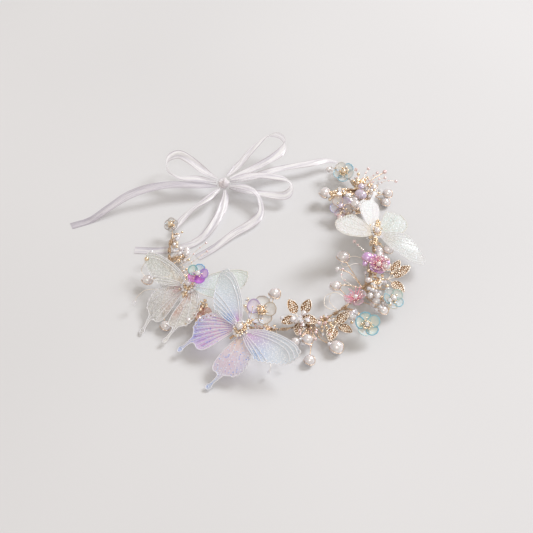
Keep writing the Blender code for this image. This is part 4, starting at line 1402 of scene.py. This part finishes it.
for name, (angle, fork_spot, leaves) in LEAF_SPRIGS.items():
    fork = at(*fork_spot)
    verts, faces, grains, rims, twigs = [], [], [], [], []
    for base_spot, tip_spot, slim in leaves:
        base, tip = at(*base_spot), at(*tip_spot)
        plate, leaf_grains, rim = leaf(base, tip, slim)
        faces += grid_faces(EDGE_STEPS, 4, len(verts))
        verts += plate
        grains += leaf_grains
        rims.append(rim)
        twigs.append([fork, base, base.lerp(tip, 0.9)])
    # painted shade: the dark plates stand for the shadow in the lace's holes
    plate = mesh_piece(name + "_plates", verts, faces, leaf_shade_plate, replaces=[name])
    plate.modifiers.new("thickness", "SOLIDIFY").thickness = PLATE_THICKNESS * MM
    beads(name + "_grains", "grain", grains, leaf_gold)
    wires(name + "_rims", rims, LEAF_RIM_WIRE, leaf_gold, sides=1)
    twigs += twisted([on_hoop(angle), fork], *TWIG_TWIST)
    wires(name + "_twigs", twigs, TWIG_WIRE, leaf_gold)
    print(name, "has", len(grains), "grains")

# %% [markdown]
# ## The filling
# Between the big pieces the ring is filled with small beads, cut crystals and gold grains. They are
# threaded in twos and threes on thin wires that start from the ring, so each one here has its own wire from
# a common foot, and the crowd stays open and airy. The wires start under the crowd and bend up into it.

# %% Small beads in crowds
CROWD_WIRE = 0.17


def crowd(name, foot, centre, spread, mix):
    """Beads scattered round a centre, each on its own wire. The mix lists a kind, a number and a radius."""
    routes = []
    for kind, count, radius in mix:
        shape, material, slot = KINDS[kind]
        spots = []
        for _ in range(count):
            place = centre + Vector([dice.gauss(0, 0.5) * s for s in spread]) * MM
            place.z = max(place.z, radius * 1.1 * MM)
            tilt = Vector((dice.uniform(-1, 1), dice.uniform(-1, 1), 1.2))
            spots.append((place, radius * dice.uniform(0.85, 1.15), tilt))
            bend = foot.lerp(place, 0.6) + UP * 1.2 * MM
            routes.append(smooth_route([foot, bend, place], 1.5 * MM))
        beads(f"{name}_{kind}_{count}", shape, spots, material)
    wires(name + "_wires", routes, CROWD_WIRE, sides=1)


# Name: foot on the hoop, centre, spread in x, y and z, and the mix of beads.
CROWDS = {
    "left_end": (-187, (-75, 7, 8), (3, 10, 3), [("stone", 9, 1.5), ("gold", 9, 1.0)]),
    "left_strand": (-172, (-69, -10, 8), (5, 9, 3), [
        ("stone", 8, 1.5), ("gold", 14, 1.1), ("pearl", 3, 2.0),
    ]),
    "left_under": (-155, (-66, -30, 8), (7, 9, 3), [("gold", 10, 1.2), ("pink", 5, 1.2), ("stone", 5, 1.4)]),
    "coral": (-126, (-56, -72, 9), (9, 9, 4), [("gold", 12, 1.2), ("coral", 9, 1.9), ("pearl", 4, 2.1)]),
    "gold_blossom": (-130, (-52, -62, 14), (5, 5, 3), [("gold", 12, 1.2), ("stone", 4, 1.3)]),
    "front_left": (-98, (-17, -60, 11), (6, 8, 4), [("gold", 10, 1.2), ("stone", 5, 1.4)]),
    "clear_lower": (-88, (-4, -82, 9), (9, 4, 3), [("gold", 9, 1.1), ("pink", 6, 1.1), ("stone", 4, 1.4)]),
    "front_leaves": (-75, (21, -75, 12), (10, 6, 4), [
        ("stone", 9, 1.9), ("pearl", 3, 2.3), ("pink", 6, 1.1),
    ]),
    "front_pink": (-70, (27, -88, 7), (12, 9, 3), [("pink", 14, 1.25), ("stone", 6, 1.5), ("gold", 5, 1.0)]),
    "side_gold": (-62, (42, -75, 8), (8, 6, 3), [("gold", 14, 1.2), ("stone", 6, 1.5), ("pink", 4, 1.2)]),
    "blue_side": (-48, (60, -70, 9), (6, 6, 3), [("gold", 7, 1.2), ("pearl", 2, 2.4), ("stone", 5, 1.5)]),
    "silver": (-36, (76, -47, 12), (5, 8, 5), [("stone", 14, 1.8), ("gold", 6, 1.3), ("pearl", 3, 2.4)]),
    "green_side": (-33, (84, -58, 10), (7, 7, 4), [("pearl", 4, 2.6), ("stone", 7, 1.6), ("gold", 6, 1.1)]),
    "brown_gold": (-28, (80, -38, 12), (7, 8, 4), [("gold", 26, 1.4), ("stone", 8, 1.6)]),
    "purple": (-18, (82, -24, 17), (8, 9, 5), [
        ("coral", 12, 1.7), ("pearl", 8, 2.6), ("gold", 14, 1.3), ("lilac", 6, 1.8),
    ]),
    "above_purple": (-10, (84, -12, 12), (6, 6, 4), [("pearl", 4, 2.8), ("stone", 6, 1.5), ("gold", 6, 1.1)]),
    "under_right": (8, (80, 14, 11), (5, 14, 5), [("gold", 30, 1.4), ("stone", 12, 1.6), ("pearl", 4, 2.2)]),
    "top_gold": (42, (73, 71, 11), (8, 6, 4), [("gold", 30, 1.4), ("coral", 5, 1.5), ("stone", 5, 1.6)]),
    "top_stones": (34, (82, 60, 12), (7, 7, 4), [("stone", 16, 2.0), ("gold", 14, 1.3), ("pearl", 5, 2.4)]),
    "top_inner": (44, (55, 56, 11), (11, 5, 4), [("gold", 34, 1.3), ("stone", 10, 2.0), ("pearl", 5, 2.5)]),
    "top_middle": (32, (66, 46, 13), (8, 8, 4), [("pearl", 6, 2.9), ("gold", 14, 1.3), ("stone", 8, 1.7)]),
    "aqua_side": (50, (56, 84, 10), (6, 6, 4), [("stone", 8, 1.6), ("gold", 8, 1.2), ("pearl", 2, 2.2)]),
    "glass_side": (28, (58, 36, 10), (7, 5, 3), [("coral", 5, 1.8), ("gold", 7, 1.0), ("pearl", 2, 2.4)]),
}
for name, (angle, centre, spread, mix) in CROWDS.items():
    crowd("filling_" + name, on_hoop(angle), at(*centre), spread, mix)
print("crowds of small beads:", len(CROWDS))

# %% [markdown]
# Some beads stand out from the crowds and are placed one by one: the larger pearls and lilac pearls of the
# right side, each on its own twisted wire, with a fine wire ring round the bead as its cup. A few long
# wires carry seed beads at their ends and wave out of the ring, and two wires close into open loops over
# its inner side.

# %% Single beads and loose wires
SINGLES = [
    ((26, -91, 8), 4.0, "pearl", -70), ((2, -57, 20), 4.2, "pearl", -93),
    ((48, -46, 16), 3.8, "pearl", -42), ((73, -20, 19), 4.4, "lilac", -20),
    ((82, -15, 14), 3.2, "pearl", -14), ((90, -7, 14), 3.8, "pearl", -10),
    ((87, -28, 18), 3.4, "pearl", -22), ((78, -57, 11), 3.2, "pearl", -36),
    ((83, -64, 9), 3.6, "pearl", -40), ((87, -48, 14), 2.0, "pearl", -32), ((43, 57, 12), 4.3, "pearl", 42),
    ((95, 63, 6), 4.0, "pearl", 36), ((71, 52, 16), 4.0, "mauve", 36), ((67, 39, 17), 4.0, "pearl", 30),
    ((73, 62, 15), 2.6, "mauve", 38), ((-66, -8, 10), 3.0, "pearl", -170),
    ((-55, -86, 7), 2.6, "pearl", -122), ((55, 32, 9), 2.4, "pink", 28),
]


def wire_ring(middle, radius):
    """A ring of wire round a bead, lying level, as the cup that holds it."""
    turns = [math.tau * k / 20 for k in range(21)]
    ring = [Vector((math.cos(a), math.sin(a), 0.25 * math.sin(2 * a))) for a in turns]
    return [middle + spot * (radius + 0.3) * MM for spot in ring]


CUP_WIRE = 0.2
CUPPED_FROM = 3  # beads larger than this have a cup
STEM_ARCH = 1.5
for k, (place, radius, kind, angle) in enumerate(SINGLES):
    shape, material, slot = KINDS[kind]
    spot, foot = at(*place), on_hoop(angle)
    beads(f"single_{kind}_{k}", "round", [(spot, radius)], material)
    bend = foot.lerp(spot, 0.5) + UP * STEM_ARCH * MM
    wires(f"single_stem_{k}", stem([foot, bend, spot], THIN_SPREAD), THIN_WIRE)
cups = [wire_ring(at(*place), radius) for place, radius, _, _ in SINGLES if radius > CUPPED_FROM]
cups += [wire_ring(middle_of(name), radius_of(name)) for name in PEARLS]
wires("pearl_cups", cups, CUP_WIRE)

# Each loose wire: its foot on the hoop, its points and the kind and radius of the beads along it.
LOOSE = [
    (-165, [(-66, -15, 9), (-58, -6, 12), (-51, 0, 14)], "pink", 0.8),
    (-163, [(-65, -19, 9), (-56, -13, 12), (-50, -8, 13)], "pink", 0.8),
    (-160, [(-90, -34, 9), (-99, -30, 14), (-95, -24, 22)], "gold", 1.5),
    (-148, [(-92, -46, 12), (-100, -52, 12), (-103, -57, 10)], "stone", 1.6),
    (-95, [(-4, -100, 8), (-1, -113, 8), (-2, -119, 6)], "stone", 1.3),
    (-88, [(6, -98, 8), (9, -108, 8), (10, -112, 8)], "stone", 1.2),
    (-50, [(50, -66, 10), (43, -59, 13), (45, -53, 16), (52, -54, 15), (56, -61, 11)], None, 0),
    (-48, [(48, -64, 9), (40, -62, 11), (40, -54, 13), (47, -50, 14)], None, 0),
    (-36, [(60, -44, 14), (53, -38, 16), (54, -30, 17)], "pink", 1.0),
    (-14, [(72, -10, 14), (66, -5, 18), (64, -2, 18)], "pink", 1.2),
    (-16, [(66, -20, 12), (56, -24, 13), (54, -20, 13), (62, -14, 14), (70, -16, 14)], None, 0),
    (40, [(80, 72, 13), (87, 78, 15)], "pink", 1.1), (40, [(84, 70, 13), (93, 72, 15)], "pink", 1.1),
    (38, [(88, 68, 12), (96, 71, 13), (102, 71, 12)], "pink", 1.1),
    (41, [(76, 76, 12), (80, 84, 14)], "pink", 1.1), (50, [(66, 82, 11), (70, 85, 12)], "coral", 1.5),
]
LARGE_TIP = 1.5  # a wire with a smaller tip than this also carries two seed beads
LOOSE_WIRE = 0.2
COIL_WIRE = 0.2
routes, ends = [], {}
for angle, points, kind, radius in LOOSE:
    route = smooth_route([on_hoop(angle), *[at(*p) for p in points]], 1.0 * MM)
    routes.append(route)
    if kind:
        ends.setdefault(kind, []).append((route[-1], radius * 1.2))
        if radius < LARGE_TIP:
            ends[kind] += [(route[len(route) * share // 10], radius * 0.8) for share in (6, 8)]
wires("loose_wires", routes, LOOSE_WIRE, leaf_gold, sides=1)
for kind, spots in ends.items():
    shape, material, slot = KINDS[kind]
    beads(f"loose_{kind}_beads", shape, spots, material)

# %% [markdown]
# Every stem is fixed to the ring by a short coil of thin wire wound tightly round it.

# %% Coils
COIL_EVERY = 6
COIL_WIDE = 3.2
COIL_POINTS = 60
COIL_RADIUS = 1.25

coils = []
for angle in range(HOOP_LEFT_END + 4, HOOP_RIGHT_END - 2, COIL_EVERY):
    coil = []
    for k in range(COIL_POINTS):
        turn = math.tau * k / 10
        along = angle + COIL_WIDE * k / COIL_POINTS
        here = on_hoop(along)
        out = (here - on_hoop(along, -1)).normalized()
        coil.append(here + (out * math.cos(turn) + UP * math.sin(turn)) * COIL_RADIUS * MM)
    coils.append(coil)
wires("hoop_coils", coils, COIL_WIRE, sides=1)
print("coils:", len(coils), "loose wires:", len(LOOSE))

# %% [markdown]
# ## The table and the light
# The crown lies on a pale, nearly neutral sheet of paper. One large soft light behind it on the right gives
# the long soft shadow towards the viewer's left, and the warm pale room fills the rest.

# %% Table and light
TABLE_HALF = 3
ROOM_STRENGTH = 0.6

paper, coords = new_material("pale_paper")
fibres = add(paper, "TexNoise", {"Vector": coords, "Scale": 3.0, "Detail": 1.0}).outputs["Fac"]
sheet = {"Base Color": tone(paper, fibres, (0.3, "#d4d5d6"), (0.7, "#d9dadb")), "Roughness": 0.85}
finished(paper, add(paper, "BsdfPrincipled", sheet))
table_mesh = bpy.data.meshes.new("table")
corners = [(x * TABLE_HALF, y * TABLE_HALF, 0) for x, y in ((-1, -1), (1, -1), (1, 1), (-1, 1))]
table_mesh.from_pydata(corners, [], [(0, 1, 2, 3)])
table_mesh.materials.append(paper)
table = bpy.data.objects.new("table", table_mesh)
bpy.context.scene.collection.objects.link(table)


def soft_light(name, place, size, watts, colour):
    """A square lamp that points at the crown."""
    lamp = bpy.data.lights.new(name, "AREA")
    lamp.size = size
    lamp.energy = watts
    lamp.color = linear(colour)[:3]
    obj = bpy.data.objects.new(name, lamp)
    obj.location = place
    obj.rotation_euler = (-Vector(place)).to_track_quat("-Z", "Y").to_euler()
    bpy.context.scene.collection.objects.link(obj)


soft_light("window", (1.6, 1.0, 2.0), 1.1, 52, "#f9faff")
soft_light("fill", (0.2, -1.7, 2.0), 1.4, 9, "#fafaff")
world = bpy.data.worlds.new("pale_room")
world.use_nodes = True
room = world.node_tree.nodes["Background"].inputs
room["Color"].default_value = linear("#fff5eb")
room["Strength"].default_value = ROOM_STRENGTH
bpy.context.scene.world = world
bpy.context.scene.view_settings.view_transform = "Standard"
